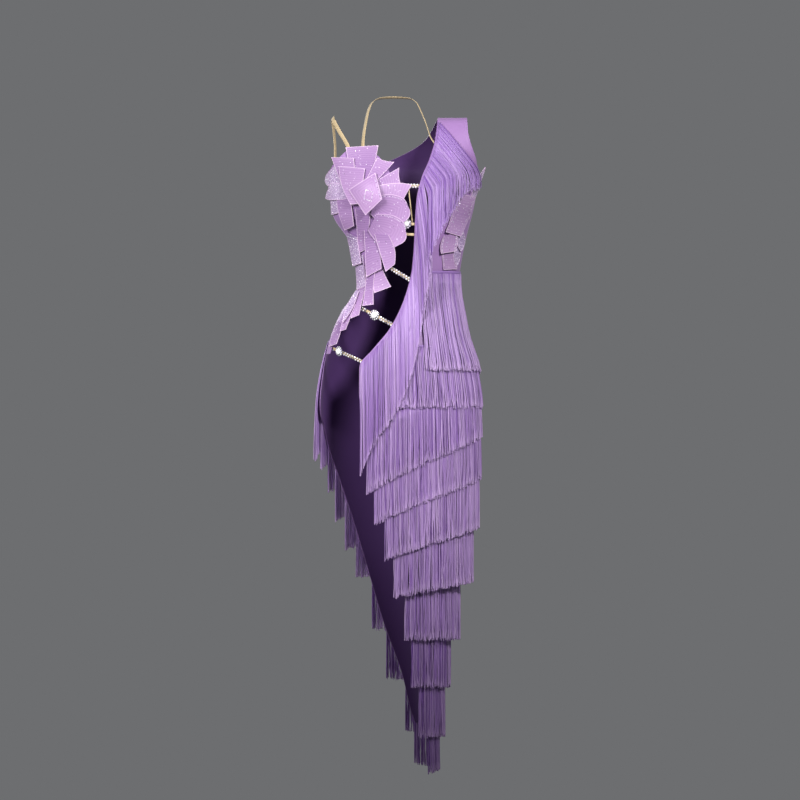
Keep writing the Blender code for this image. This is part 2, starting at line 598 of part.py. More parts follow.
def main():
    for old in list(bpy.data.objects):
        bpy.data.objects.remove(old)
    bodice()
    skirt()
    for row in TIERS:
        tier(row)
    for row in NECKLINES:
        neckline_fringe(row)
    for row in LEAVES:
        petal(row)
    for row in BANDS:
        band(row)
    straps()


main()
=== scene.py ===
import math

import bpy
import numpy as np
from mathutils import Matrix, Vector


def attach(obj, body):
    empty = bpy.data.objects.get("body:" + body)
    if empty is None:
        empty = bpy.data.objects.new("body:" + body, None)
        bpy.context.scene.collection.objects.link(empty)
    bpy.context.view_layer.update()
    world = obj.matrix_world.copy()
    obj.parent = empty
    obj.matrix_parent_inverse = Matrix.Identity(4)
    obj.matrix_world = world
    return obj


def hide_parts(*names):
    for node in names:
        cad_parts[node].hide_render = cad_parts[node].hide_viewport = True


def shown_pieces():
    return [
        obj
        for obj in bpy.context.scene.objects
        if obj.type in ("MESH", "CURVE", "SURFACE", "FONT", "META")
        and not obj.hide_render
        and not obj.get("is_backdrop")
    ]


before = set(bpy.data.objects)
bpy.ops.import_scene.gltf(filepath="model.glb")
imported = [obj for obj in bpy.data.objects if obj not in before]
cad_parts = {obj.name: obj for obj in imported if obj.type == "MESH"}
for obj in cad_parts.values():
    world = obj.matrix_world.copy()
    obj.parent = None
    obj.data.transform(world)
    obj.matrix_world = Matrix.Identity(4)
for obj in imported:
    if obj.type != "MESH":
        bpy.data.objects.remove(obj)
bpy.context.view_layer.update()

# Lengths in the tables are millimetres. X runs to the viewer's right, the front faces -Y, Z is up.
mm = 0.001
scene = bpy.context.scene

figureCut = {
    "z": [0, -4, -12, -30, -60, -100, -140, -190, -250, -330, -380, -435, -490, -560, -620, -700, -800, -900,
          -1000, -1100, -1185],
    "centre": [5, 5, 5, 5, 5, 5, 5, 5, 15, 16, 3, -4, -2, -2, -2, 1, 6, 15, 22, 30, 35],
    "half": [165, 165, 165, 163, 156, 148, 145, 136, 111, 99, 118, 134, 148, 155, 155, 150, 133, 100,
             73, 53, 35],
    "front": [0.15, 18, 31, 47, 66, 84, 92, 90, 82, 74, 82, 90, 94, 97, 96, 93, 86, 70, 56, 42, 30],
    "back": [0.15, 20, 35, 55, 76, 92, 95, 92, 84, 75, 90, 104, 112, 114, 109, 102, 90, 74, 58, 44, 32],
    "cupCentres": (-66, 78), "cupHeight": 26, "cupSpread": 48, "cupLevel": -150,
}

# Cut edges of the panels: distance to the right at each height.
frontEdge = {
    "z": [0, -45, -84, -123, -162, -201, -250, -298, -337, -376, -415, -454, -487, -540, -590, -640, -685,
          -755, -826, -905, -998, -1035, -1093, -1150, -1185],
    "x": [74, 68, 57, 41, 32, 29, 27, 23, 14, 0, -21, -53, -79, -79.5, -68, -61, -52, -32, -15, 6, 18, 23,
          33.5, 48, 57],
}
armholeEdge = {"z": [0, -30, -48, -66, -84, -106], "x": [131, 133, 137, 143, 149, 152]}
cupInnerEdge = {
    "z": [-68, -100, -140, -180, -230, -270, -310, -350, -385, -415, -440, -462],
    "x": [-52, -25, -12, -8, -12, -24, -44, -66, -90, -114, -129, -137],
}
cupArmholeEdge = {"z": [-68, -90, -112], "x": [-106, -128, -142]}
backNeckEdge = {"z": [0, -40, -80, -112], "x": [74, 50, -20, -141.9]}
backHemEdge = {
    "z": [-560, -640, -700, -790, -890, -990, -1090, -1160, -1185],
    "x": [-157, -142, -122, -92, -62, -32, 4, 21, 30],
}


# A cubic through the values, with the harmonic mean of the neighbouring slopes at each knot.
def smoothThrough(at, knots, values):
    knots, values = np.asarray(knots, float), np.asarray(values, float)
    at = np.clip(at, knots[0], knots[-1])
    step = np.diff(knots)
    rise = np.diff(values) / step
    slope = np.concatenate([rise[:1], np.zeros(len(rise) - 1), rise[-1:]])
    same = rise[:-1] * rise[1:] > 0
    slope[1:-1][same] = 2 * (rise[:-1] * rise[1:])[same] / (rise[:-1] + rise[1:])[same]
    cell = np.clip(np.searchsorted(knots, at) - 1, 0, len(step) - 1)
    t = (at - knots[cell]) / step[cell]
    start = (1 + 2 * t) * (1 - t) ** 2 * values[cell] + t * (1 - t) ** 2 * step[cell] * slope[cell]
    end = t * t * (3 - 2 * t) * values[cell + 1] + t * t * (t - 1) * step[cell] * slope[cell + 1]
    return start + end


# Rows of a table read at any place, straight between its knots.
def readAt(at, knots, table):
    return np.stack([np.interp(at, knots, table[:, i]) for i in range(table.shape[1])], axis=-1)


# One named list of a table, read at any height.
def column(table, field, z):
    return smoothThrough(z, table["z"][::-1], table[field][::-1])


# The two cups: a bell for each, its height falling with the square of the distance from its centre.
def cups(x, z):
    level = ((z - figureCut["cupLevel"]) / figureCut["cupSpread"]) ** 2
    return sum(
        figureCut["cupHeight"] * np.exp(-level - ((x - c) / figureCut["cupSpread"]) ** 2)
        for c in figureCut["cupCentres"]
    )


# A point of the figure: an oval by angle (0 = right, -90 degrees = front) and height, plus the cups in front.
def figure(angle, z, lift=0.0):
    angle, z, lift = np.broadcast_arrays(*(np.asarray(value, float) for value in (angle, z, lift)))
    x = column(figureCut, "centre", z) + (column(figureCut, "half", z) + lift) * np.cos(angle)
    ahead = np.sin(angle) < 0
    depth = np.where(ahead, column(figureCut, "front", z), column(figureCut, "back", z)) + lift
    y = depth * np.sin(angle) - np.where(ahead, -np.sin(angle), 0.0) * cups(x, z)
    return np.stack([x, y, z], axis=-1)


# The angle on the front half: arc cosine of the distance from the oval's centre over its half width.
def angleOf(x, z, lift=0.0):
    share = (x - column(figureCut, "centre", z)) / (column(figureCut, "half", z) + lift)
    return -np.arccos(np.clip(share, -0.9999, 0.9999))


def front(x, z, lift=0.0):
    return figure(angleOf(x, z, lift), z, lift)


# Points inside the lifted figure move straight out from its axis until they lie on it.
def keepOutside(points, lift):
    x, y, z = points[..., 0], points[..., 1], points[..., 2]
    centre = column(figureCut, "centre", z)
    depth = np.where(y < 0, column(figureCut, "front", z), column(figureCut, "back", z)) + lift
    cup = np.where(y < 0, cups(x, z) * np.clip(-y / depth, 0, 1), 0.0)
    share = np.hypot((x - centre) / (column(figureCut, "half", z) + lift), (y + cup) / depth)
    grow = 1 / np.clip(share, 0.2, 1.0)
    return np.stack([centre + (x - centre) * grow, (y + cup) * grow - cup, z], axis=-1)


def unit(vectors):
    return vectors / np.maximum(np.linalg.norm(vectors, axis=-1, keepdims=True), 1e-9)


# Outward normals of a grid whose rows run down and columns to the right: rows' run crossed with columns' run.
def gridNormals(grid):
    return unit(np.cross(np.gradient(grid, axis=0), np.gradient(grid, axis=1)))


# Distance along a path at each of its points. Further axes hold paths side by side.
def distances(path):
    steps = np.linalg.norm(np.diff(path, axis=-2), axis=-1)
    return np.concatenate([np.zeros(steps.shape[:-1] + (1,)), np.cumsum(steps, axis=-1)], axis=-1)


# Faces come in arrays of corners, each array with one number of sides. Values go on the points: place is a
# vector and the others are plain numbers.
def addPiece(name, points, faces, material, replaces, values, flat=False):
    mesh = bpy.data.meshes.new(name)
    points = (np.reshape(points, (-1, 3)) * mm).astype(np.float32)
    mesh.vertices.add(len(points))
    mesh.vertices.foreach_set("co", points.ravel())
    corners = np.concatenate([face.ravel() for face in faces]).astype(np.int32)
    sides = np.concatenate([np.full(len(face), face.shape[1]) for face in faces])
    mesh.loops.add(len(corners))
    mesh.loops.foreach_set("vertex_index", corners)
    mesh.polygons.add(len(sides))
    mesh.polygons.foreach_set("loop_start", np.concatenate([[0], np.cumsum(sides)[:-1]]).astype(np.int32))
    mesh.materials.append(material)
    mesh.update(calc_edges=True)
    mesh.polygons.foreach_set("use_smooth", np.full(len(sides), not flat))
    for key, value in values.items():
        kind, field = ("FLOAT_VECTOR", "vector") if key == "place" else ("FLOAT", "value")
        data = mesh.attributes.new(key, kind, "POINT").data
        data.foreach_set(field, np.asarray(value, np.float32).ravel())
    piece = bpy.data.objects.new(name, mesh)
    scene.collection.objects.link(piece)
    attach(piece, "root")
    if replaces:
        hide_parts(*replaces)
    return piece


# A closed wall: the outer grid, the inner grid turned round, and a strip of faces round their rims.
def wallFaces(rows, columns):
    count = rows * columns
    corner = np.arange(rows - 1)[:, None] * columns + np.arange(columns - 1)
    outside = corner.reshape(-1, 1) + np.array([0, columns, columns + 1, 1])
    rim = np.concatenate([
        np.arange(columns), np.arange(1, rows) * columns + columns - 1,
        count - 1 - np.arange(1, columns), np.arange(rows - 2, 0, -1) * columns,
    ])
    after = np.roll(rim, -1)
    strip = np.stack([rim, after, count + after, count + rim], 1)
    return np.concatenate([outside, (count + outside)[:, ::-1], strip])


# The same values for a wall's outer grid and its inner one.
def bothSides(**values):
    return {key: np.concatenate([value, value]) for key, value in values.items()}


# Tubes, one after another in the points: the sides from station to station, and a flat cap at each end.
def tubeFaces(tubes, stations, sides, start=0):
    first = start + np.arange(tubes)[:, None, None] * stations * sides
    row = first + np.arange(stations - 1)[None, :, None] * sides
    k = np.arange(sides)
    after = (k + 1) % sides
    quads = np.stack([row + k, row + sides + k, row + sides + after, row + after], -1).reshape(-1, 4)
    heads = first[:, 0] + k
    feet = first[:, 0] + (stations - 1) * sides + k[::-1]
    return quads, np.concatenate([heads, feet])


# Strands along many paths at once: three points round each path's line, turned a little from path to path.
def strandPoints(paths, outward, radius, turn):
    run = unit(np.gradient(paths, axis=1))
    side = unit(np.cross(run, outward))
    ahead = np.cross(side, run)
    angle = (turn[:, None, None] + np.arange(3) * 2 * math.pi / 3)[..., None]
    ring = np.cos(angle) * side[:, :, None] + np.sin(angle) * ahead[:, :, None]
    return paths[:, :, None] + radius[..., None, None] * ring


def toLinear(hexColour):
    parts = [int(hexColour[i:i + 2], 16) / 255 for i in (1, 3, 5)]
    return tuple(c / 12.92 if c <= 0.04045 else ((c + 0.055) / 1.055) ** 2.4 for c in parts) + (1.0,)


# Sets a node's inputs: a socket is linked, a hex string becomes a colour, and anything else is a plain value.
def setInputs(node, inputs):
    for key, value in inputs.items():
        if isinstance(value, bpy.types.NodeSocket):
            node.id_data.links.new(value, node.inputs[key])
        else:
            node.inputs[key].default_value = toLinear(value) if isinstance(value, str) else value


def addNode(tree, kind, inputs=None, **settings):
    node = tree.nodes.new("ShaderNode" + kind)
    for key, value in settings.items():
        setattr(node, key, value)
    setInputs(node, inputs or {})
    return node.outputs


def startMaterial(name, colour, **sockets):
    made = bpy.data.materials.new(name)
    made.use_nodes = True
    shader = made.node_tree.nodes["Principled BSDF"]
    sockets = {key.replace("_", " "): value for key, value in sockets.items()}
    setInputs(shader, {"Base Color": colour, **sockets})
    return made, made.node_tree, shader


# A sine of one coordinate in millimetres, from 0 to 1, repeating at the given pitch.
def waves(tree, coordinate, pitch, shift=0.0):
    turns = addNode(tree, "Math", {0: coordinate, 1: 2 * math.pi / pitch, 2: shift}, operation="MULTIPLY_ADD")
    wave = addNode(tree, "Math", {0: turns[0]}, operation="SINE")
    return addNode(tree, "Math", {0: wave[0], 1: 0.5, 2: 0.5}, operation="MULTIPLY_ADD")[0]


clothLook = {
    # The wrong side's colour is partly the jersey's duller back and partly painted shade for the inside of
    # the dress.
    "colour": "#A27DB4", "worn": "#946FA6", "wrongSideAndShade": "#52366A", "roughness": 0.46,
    "sheen": 0.3, "sheenTint": "#E6C8F2", "knitPitch": 1.5, "knitDepth": 0.06,
    "hemFrom": 6.0, "hemRidge": 3.0,       # the hem's stitching stands this many knit depths high
}
fringeLook = {
    "colour": "#C4A5D6", "shade": "#70439A", "roughness": 0.42, "sheen": 0.25, "sheenTint": "#E3CBF4",
    "twistPitch": 2.6, "twistDepth": 0.12,
}
petalLook = {
    "rootShade": 0.45,       # painted shade: each petal is darker where it is gathered and its folds shade it, and lighter at its tip
    "colour": "#AE8BB7", "deep": "#8A689A", "flecks": 0.008,
    "silver": "#B79FC2", "silverDeep": "#8F75A2", "silverFlecks": 0.16,
    # The edge colour is partly the cut edge's paler core and partly a painted highlight.
    "edge": "#CDB1CE", "fleck": "#DCC4E4", "sheenTint": "#F0D8F2", "roughness": 0.5, "fleckRoughness": 0.15,
    # The ribs' share of the deep colour is painted shade in their grooves.
    "ribPitch": 4.9, "ribGrooveShade": 0.25, "ribDepth": 0.22, "edgeWidth": 1.0, "fleckSize": 1.5,
}
elasticLook = {"colour": "#D2BF9A", "deep": "#B69F78", "roughness": 0.62, "ribPitch": 0.9, "ribDepth": 0.1}
# Stone colours by a random share: the pink and blue are the coating's faint tints, and the spread from dark
# grey to white is a painted glint, some stones lit and some not.
stoneTintsAndGlints = [(0.0, "#4E4A58"), (0.25, "#B7B0C6"), (0.5, "#FFFFFF"), (0.8, "#F7E8F6"), (1.0, "#D5E6F4")]


# Nylon and elastane jersey: satin sheen, fine upright wales, drawn coarser than the real 0.4 mm to show.
def jerseyMaterial():
    look = clothLook
    made, tree, shader = startMaterial(
        "nylonJersey", look["colour"], Roughness=look["roughness"], Sheen_Weight=look["sheen"],
        Sheen_Roughness=0.4, Sheen_Tint=look["sheenTint"], Specular_IOR_Level=0.4,
    )
    place = addNode(tree, "Attribute", attribute_name="place")["Vector"]
    parts = addNode(tree, "SeparateXYZ", {0: place})
    wales = waves(tree, parts["X"], look["knitPitch"])
    courses = waves(tree, parts["Y"], look["knitPitch"] * 0.8)
    knit = addNode(tree, "Math", {0: wales, 1: courses}, operation="MULTIPLY")
    edge = addNode(tree, "Attribute", attribute_name="edge")
    hem = addNode(tree, "MapRange", {
        "Value": edge["Fac"], "From Min": look["hemFrom"] - 0.6, "From Max": look["hemFrom"] + 0.6,
        "To Min": 1.0, "To Max": 0.0,
    })
    height = addNode(tree, "Math", {0: hem[0], 1: look["hemRidge"], 2: knit[0]}, operation="MULTIPLY_ADD")
    bump = addNode(tree, "Bump", {"Height": height[0], "Strength": 0.5, "Distance": look["knitDepth"] * mm})
    stretch = addNode(tree, "TexNoise", {"Vector": place, "Scale": 0.02, "Detail": 2.0})
    tone = addNode(
        tree, "Mix", {"Factor": stretch["Fac"], 6: look["colour"], 7: look["worn"]}, data_type="RGBA",
    )
    # Painted shade: the inner wall takes the darker wrong-side colour, partly the jersey's duller back and
    # partly the shade inside the dress.
    insideMask = addNode(tree, "Attribute", attribute_name="wrongSideAndShade")
    both = addNode(tree, "Mix", {"Factor": insideMask["Fac"], 6: tone[2], 7: look["wrongSideAndShade"]}, data_type="RGBA")
    setInputs(shader, {"Base Color": both[2], "Normal": bump[0]})
    return made


# Twisted viscose cord: a silky highlight along each strand and a slanting twist across it.
def viscoseMaterial():
    look = fringeLook
    made, tree, shader = startMaterial(
        "twistedViscose", look["colour"], Roughness=look["roughness"], Sheen_Weight=look["sheen"],
        Sheen_Roughness=0.35, Sheen_Tint=look["sheenTint"], Specular_IOR_Level=0.45,
    )
    tone = addNode(tree, "Attribute", attribute_name="tone")
    place = addNode(tree, "Attribute", attribute_name="place")
    parts = addNode(tree, "SeparateXYZ", {0: place["Vector"]})
    twist = waves(tree, parts["Y"], look["twistPitch"], parts["X"])
    bump = addNode(tree, "Bump", {"Height": twist, "Strength": 0.35, "Distance": look["twistDepth"] * mm})
    shade = addNode(
        tree, "Mix", {"Factor": tone["Fac"], 6: look["shade"], 7: look["colour"]}, data_type="RGBA",
    )
    setInputs(shader, {"Base Color": shade[2], "Normal": bump[0]})
    return made


# Stiffened satin with pressed ribs, flecked with glitter film. The pale band along the cut edge is partly the
# edge's paler core and partly a painted highlight. The deep colour gives painted shade in the ribs' grooves
# and towards each root.
def petalMaterial(name, colour, deep, flecks):
    look = petalLook
    made, tree, shader = startMaterial(
        name, colour, Roughness=look["roughness"], Sheen_Weight=0.2, Sheen_Roughness=0.4,
        Sheen_Tint=look["sheenTint"], Specular_IOR_Level=0.4,
    )
    rib = addNode(tree, "Attribute", attribute_name="rib")
    ribs = waves(tree, rib["Fac"], look["ribPitch"])
    place = addNode(tree, "Attribute", attribute_name="place")
    cells = addNode(tree, "TexVoronoi", {"Vector": place["Vector"], "Scale": 1 / look["fleckSize"]})
    chance = addNode(tree, "SeparateColor", {0: cells["Color"]})
    fleck = addNode(tree, "Math", {0: chance[0], 1: 1 - flecks}, operation="GREATER_THAN")
    tone = addNode(tree, "Attribute", attribute_name="tone")
    # Painted shade: the ribs' grooves lean towards the deep colour. The petal's tone, with its painted root
    # shade, adds to the share.
    share = addNode(
        tree, "Math", {0: ribs, 1: look["ribGrooveShade"], 2: tone["Fac"]}, operation="MULTIPLY_ADD",
        use_clamp=True,
    )
    body = addNode(tree, "Mix", {"Factor": share[0], 6: deep, 7: colour}, data_type="RGBA")
    glitter = addNode(tree, "Mix", {"Factor": fleck[0], 6: body[2], 7: look["fleck"]}, data_type="RGBA")
    edge = addNode(tree, "Attribute", attribute_name="edge")
    # The pale band along the cut edge: partly its paler core, partly a painted highlight.
    pale = addNode(tree, "MapRange", {
        "Value": edge["Fac"], "From Min": look["edgeWidth"] * 0.6, "From Max": look["edgeWidth"] * 1.4,
        "To Min": 1.0, "To Max": 0.0,
    })
    whole = addNode(tree, "Mix", {"Factor": pale[0], 6: glitter[2], 7: look["edge"]}, data_type="RGBA")
    gloss = addNode(
        tree, "MapRange", {"Value": fleck[0], "To Min": look["roughness"], "To Max": look["fleckRoughness"]},
    )
    bump = addNode(tree, "Bump", {"Height": ribs, "Strength": 0.5, "Distance": look["ribDepth"] * mm})
    setInputs(shader, {"Base Color": whole[2], "Roughness": gloss[0], "Normal": bump[0]})
    return made


# Skin-tone elastic webbing: matte, with fine ribs along its length.
def elasticMaterial():
    look = elasticLook
    made, tree, shader = startMaterial(
        "nudeElastic", look["colour"], Roughness=look["roughness"], Sheen_Weight=0.15,
    )
    place = addNode(tree, "Attribute", attribute_name="place")
    parts = addNode(tree, "SeparateXYZ", {0: place["Vector"]})
    ribs = waves(tree, parts["X"], look["ribPitch"])
    picks = waves(tree, parts["Y"], look["ribPitch"])
    weave = addNode(tree, "Math", {0: ribs, 1: picks}, operation="MULTIPLY")
    tone = addNode(tree, "Mix", {"Factor": weave[0], 6: look["deep"], 7: look["colour"]}, data_type="RGBA")
    bump = addNode(tree, "Bump", {"Height": weave[0], "Strength": 0.5, "Distance": look["ribDepth"] * mm})
    setInputs(shader, {"Base Color": tone[2], "Normal": bump[0]})
    return made


# Foil-backed cut glass: mirror-bright facets. Each stone's colour comes from the ramp: partly the coating's
# own faint tint, partly a painted glint from dark grey to white.
def crystalMaterial():
    made, tree, shader = startMaterial(
        "foiledGlass", "#F4F2F8", Roughness=0.12, Metallic=0.12, Coat_Weight=1.0, Coat_Roughness=0.03,
    )
    tone = addNode(tree, "Attribute", attribute_name="tone")
    tintAndGlint = addNode(tree, "ValToRGB", {"Fac": tone["Fac"]})["Color"]
    stops = tintAndGlint.node.color_ramp.elements
    for i, (at, colour) in enumerate(stoneTintsAndGlints):
        stop = stops[i] if i < 2 else stops.new(at)
        stop.position = at
        stop.color = toLinear(colour)
    setInputs(shader, {"Base Color": tintAndGlint})
    return made


# Silver-plated brass of the stone cups: bright and a little brushed.
def settingMaterial():
    made, tree, shader = startMaterial("platedSetting", "#8E8A92", Roughness=0.28, Metallic=1.0)
    place = addNode(tree, "TexCoord")
    grain = addNode(tree, "TexNoise", {"Vector": place["Object"], "Scale": 900.0, "Detail": 2.0})
    gloss = addNode(tree, "MapRange", {"Value": grain["Fac"], "To Min": 0.2, "To Max": 0.38})
    setInputs(shader, {"Roughness": gloss[0]})
    return made


jersey = jerseyMaterial()
viscose = viscoseMaterial()
petalSatin = petalMaterial("ribbedSatin", petalLook["colour"], petalLook["deep"], petalLook["flecks"])
petalSilver = petalMaterial(
    "glitterSatin", petalLook["silver"], petalLook["silverDeep"], petalLook["silverFlecks"],
)
elastic = elasticMaterial()
crystal = crystalMaterial()
setting = settingMaterial()
print("materials made")

panelCut = {
    "wall": 1.5, "seam": 0.05, "waist": -302.0, "columns": 56, "rowStep": 4.0, "skirtStep": 7.0,
    "spine": 20,             # the column along which heights on the cloth are measured
    "hem": 5.5, "hemTurn": 0.125,      # a turned hem of this width is this much thicker
    "tuck": 0.7, "tuckFade": 2.0,      # how far the wall turns in at the waist seam, and how soon that fades
    "pull": 0.55, "pullFade": 16.0,    # the same for the small pulls beside the seam
}
strapLevels = [0, -3, -8, -16, -30, -48, -66, -82, -93]
trunkTop = -103.0
creaseAngle = math.radians(50)


def levelsBetween(knots, step):
    parts = [np.linspace(a, b, max(2, math.ceil((a - b) / step) + 1))[:-1] for a, b in zip(knots, knots[1:])]
    return np.concatenate(parts + [[knots[-1]]]).astype(float)


def edgeAngle(edge, levels):
    return angleOf(column(edge, "x", levels), levels)


# Half the side seam's gap, as an angle.
def sideGap(z):
    depth = np.minimum(column(figureCut, "front", z), column(figureCut, "back", z))
    return 0.5 * panelCut["seam"] / depth


# One curve above a height, another below a lower one, and a straight blend between them.
def switched(z, upper, lower, start, end):
    share = np.clip((start - z) / (start - end), 0, 1)
    return upper * (1 - share) + lower * share


# The seam's draw: the wall tucks in at the waist seam, and small upright pulls, sines round the body, die
# away from it.
def seamDraw(angle, z):
    away = np.abs(z - panelCut["waist"])
    pulls = np.sin(31 * angle + 0.7) * 0.6 + np.sin(53 * angle + 2.1) * 0.4
    tuck = panelCut["tuck"] * np.exp(-away / panelCut["tuckFade"])
    return panelCut["pull"] * np.exp(-away / panelCut["pullFade"]) * pulls - tuck


# A panel: the figure's surface between two angles at each height, with a wall on both sides of it. It is
# thicker within a hem's width of its open edges.
def clothPanel(node, levels, first, last, openEdges):
    share = np.linspace(0, 1, panelCut["columns"])
    angle = first[:, None] * (1 - share) + last[:, None] * share
    z = levels[:, None] + 0.0 * angle
    turn, step = 0.002, 0.5
    below = np.minimum(z, -step)
    toRight = figure(angle + turn, z) - figure(angle - turn, z)
    down = figure(angle, below - step) - figure(angle, below + step)
    normal = unit(np.cross(down, toRight))
    normal[levels == 0] = (0.0, 0.0, 1.0)
    surface = figure(angle, z)
    u = distances(surface)
    v = distances(surface[:, panelCut["spine"]])[:, None] + 0 * u
    margins = {"first": u, "last": u[:, -1:] - u, "head": v, "foot": v[-1:] - v}
    farInside = np.full(u.shape, 50.0)
    edge = np.min([farInside] + [margins[side] for side in openEdges], axis=0)
    hemmed = panelCut["hemTurn"] * (1 - np.clip(edge - panelCut["hem"], 0, 1))
    draw = seamDraw(angle, z)
    outer = surface + normal * (hemmed + draw)[..., None]
    inner = surface - normal * (panelCut["wall"] - draw)[..., None]
    name, slot = ("cloth_cup", "cup_cloth") if node == "cup_left" else ("cloth_" + node, "stretch_cloth")
    values = bothSides(place=np.stack([u, v, 0 * u], -1), edge=edge)
    # The inner wall is marked for the darker wrong-side colour, which is partly painted shade.
    values["wrongSideAndShade"] = np.repeat([0.0, 1.0], edge.size)
    piece = addPiece(
        name, np.concatenate([outer, inner]), [wallFaces(*u.shape)], jersey, [node], values,
    )
    piece.data.set_sharp_from_angle(angle=creaseAngle)


def bodicePanels():
    knots = strapLevels + [trunkTop, -112, -120, -146, -182, -230, panelCut["waist"] + panelCut["seam"] / 2]
    levels = levelsBetween(knots, panelCut["rowStep"])
    arm = edgeAngle(armholeEdge, levels)
    gap = sideGap(levels)
    right = switched(levels, arm, -gap, -93, trunkTop)
    clothPanel("bodice_front", levels, edgeAngle(frontEdge, levels), right, ("last",))
    right = switched(levels, -arm, gap, -93, trunkTop)
    left = switched(levels, -edgeAngle(backNeckEdge, levels), math.pi - gap, -112, -120)
    clothPanel("bodice_back", levels, right, left, ("first", "last"))
    levels = levelsBetween([-68, -90, -102, -114, -156, -211, -301, -391, -462], panelCut["rowStep"])
    left = switched(levels, edgeAngle(cupArmholeEdge, levels), -math.pi + sideGap(levels), -102, -114)
    clothPanel("cup_left", levels, left, edgeAngle(cupInnerEdge, levels), ("last", "head"))


def skirtPanels():
    knots = [panelCut["waist"] - panelCut["seam"] / 2, -332, -412, -487, -560, -600, -1185]
    levels = levelsBetween(knots, panelCut["skirtStep"])
    levels = np.unique(np.concatenate([levels, [-303.5, -305.5, -308.5]]))[::-1]
    gap = sideGap(levels)
    clothPanel("skirt_front", levels, edgeAngle(frontEdge, levels), -gap, ("first", "foot"))
    left = switched(levels, math.pi - gap, -edgeAngle(backHemEdge, levels), -560, -600)
    clothPanel("skirt_back", levels, gap, left, ("last", "foot"))


bodicePanels()
skirtPanels()
print("jersey panels made")

fringeSew = {
    "tierStep": 3.0, "necklineStep": 2.5,        # spacing of the hanging lines that strands are laid between
    "lift": 1.3, "stripWidth": 5.0, "stripThick": 2.0, "rise": 0.042, "frontEase": 1.6, "backEase": 1.2,
    "radius": 0.95,          # of a strand, a little thicker than real so that single strands show
    "deeper": (0.05, 0.10, 0.12, 0.08, 0.05, 0.08, 0.16, 0.28, 0.32, 0.30),    # painted shade: the lower tiers are darker, as the light falls off towards the hem, and the middle tiers a little
}
tierStrands = {
    "pitches": (1.7, 2.3, 3.2),   # spacing of the strands, from the back layer to the front one
    "depth": 3.0, "uneven": 3.2, "ragged": 0.0,
    "clump": (4.0, 11.0), "pull": (0.05, 0.4),       # strands hang together in clumps of these widths
}
# Each tier: front end's place, root heights at the front, right and back, back end's place, tip heights.
tiers = [
    (38, (-306, -306, -447), -162, (-493, -493, -676)),
    (-20, (-450, -450, -560), -152, (-566, -566, -688)),
    (-64, (-590, -522, -628), -141, (-734, -621, -735)),
    (-49, (-685, -600, -690), -127, (-794, -704, -790)),
    (-29, (-755, -692, -748), -109, (-862, -800, -846)),
    (-12, (-826, -792, -800), -88, (-936, -905, -898)),
    (9, (-905, -903, -890), -57, (-1017, -1017, -1001)),
    (21, (-998, -996, -988), -28, (-1110, -1111, -1098)),
    (36, (-1093, -1091, -1087), 8, (-1208, -1207, -1199)),
    (53, (-1168, -1162, -1155), 25, (-1280, -1272, -1264)),
]
bustFringe = {
    "crest": [-108, -110, -114, -126, -146, -154],      # where the locks bend from slanting to upright
    "root": [-10, -38, -66, -94, -118, -126], "endX": [158, 130, 106, 82, 62, 55],
    "endZ": [-138, -148, -182, -222, -268, -290], "rise": 0.10, "mostLift": 9.5,
}
# The bust's strands are darkened a little by painted shade.
bustStrands = {
    "seed": 11, "pitches": (1.5, 1.9, 2.3), "depth": 3.4, "steps": 30, "uneven": 6.0, "ragged": 1.0,
    "clump": (3.0, 7.0), "pull": (0.1, 0.7), "deeper": 0.12,
}
apronFringe = {
    "crest": None,       # these locks hang from their roots
    "root": [-126, -160, -200, -250, -298, -337, -376, -415, -454, -487],
    "endX": [61, 54, 46, 38, 29, 20, 6, -15, -49, -77],
    "endZ": [-300, -342, -384, -430, -476, -512, -548, -588, -636, -697], "rise": 0.09, "mostLift": 8.0,
}
apronStrands = {
    "seed": 12, "pitches": (2.2, 2.6, 3.2), "depth": 5.0, "steps": 14, "uneven": 3.0, "ragged": 4.0,
    "clump": (4.0, 11.0), "pull": (0.05, 0.5), "deeper": 0.0,
}
strandHabit = {         # spreads in millimetres at the tips
    "clumpSway": 1.4, "sway": 0.6, "strays": 0.05, "stray": 5.0, "tipKink": 1.1,
    "wave": 0.7, "waves": (0.8, 2.6),      # depth of a strand's waves, and how many it has
    "tone": 0.33, "tapeTone": 0.35, "toneSpread": 0.18,
    "frontTone": 0.42, "standTone": 0.07, "tipTone": 0.35,       # fronts and tips catch the light
    "clumpStand": 0.055, "tipLength": 0.7,
    "latest": 4.0,           # no strand ends further below its line: a longer one folds back
    "raggedOver": 90.0,      # ends are more uneven near the first strand, and this fades over this length
}


# Reads a grid of points at fractional places, blending its four neighbours.
def sample(grid, row, place):
    row = np.clip(row, 0, grid.shape[1] - 1.0)
    place = np.clip(place, 0, grid.shape[0] - 1.0)
    i = np.minimum(place.astype(int), grid.shape[0] - 2)
    j = np.minimum(row.astype(int), grid.shape[1] - 2)
    a, b = (place - i)[..., None], (row - j)[..., None]
    upper = grid[i, j] * (1 - a) + grid[i + 1, j] * a
    lower = grid[i, j + 1] * (1 - a) + grid[i + 1, j + 1] * a
    return upper * (1 - b) + lower * b


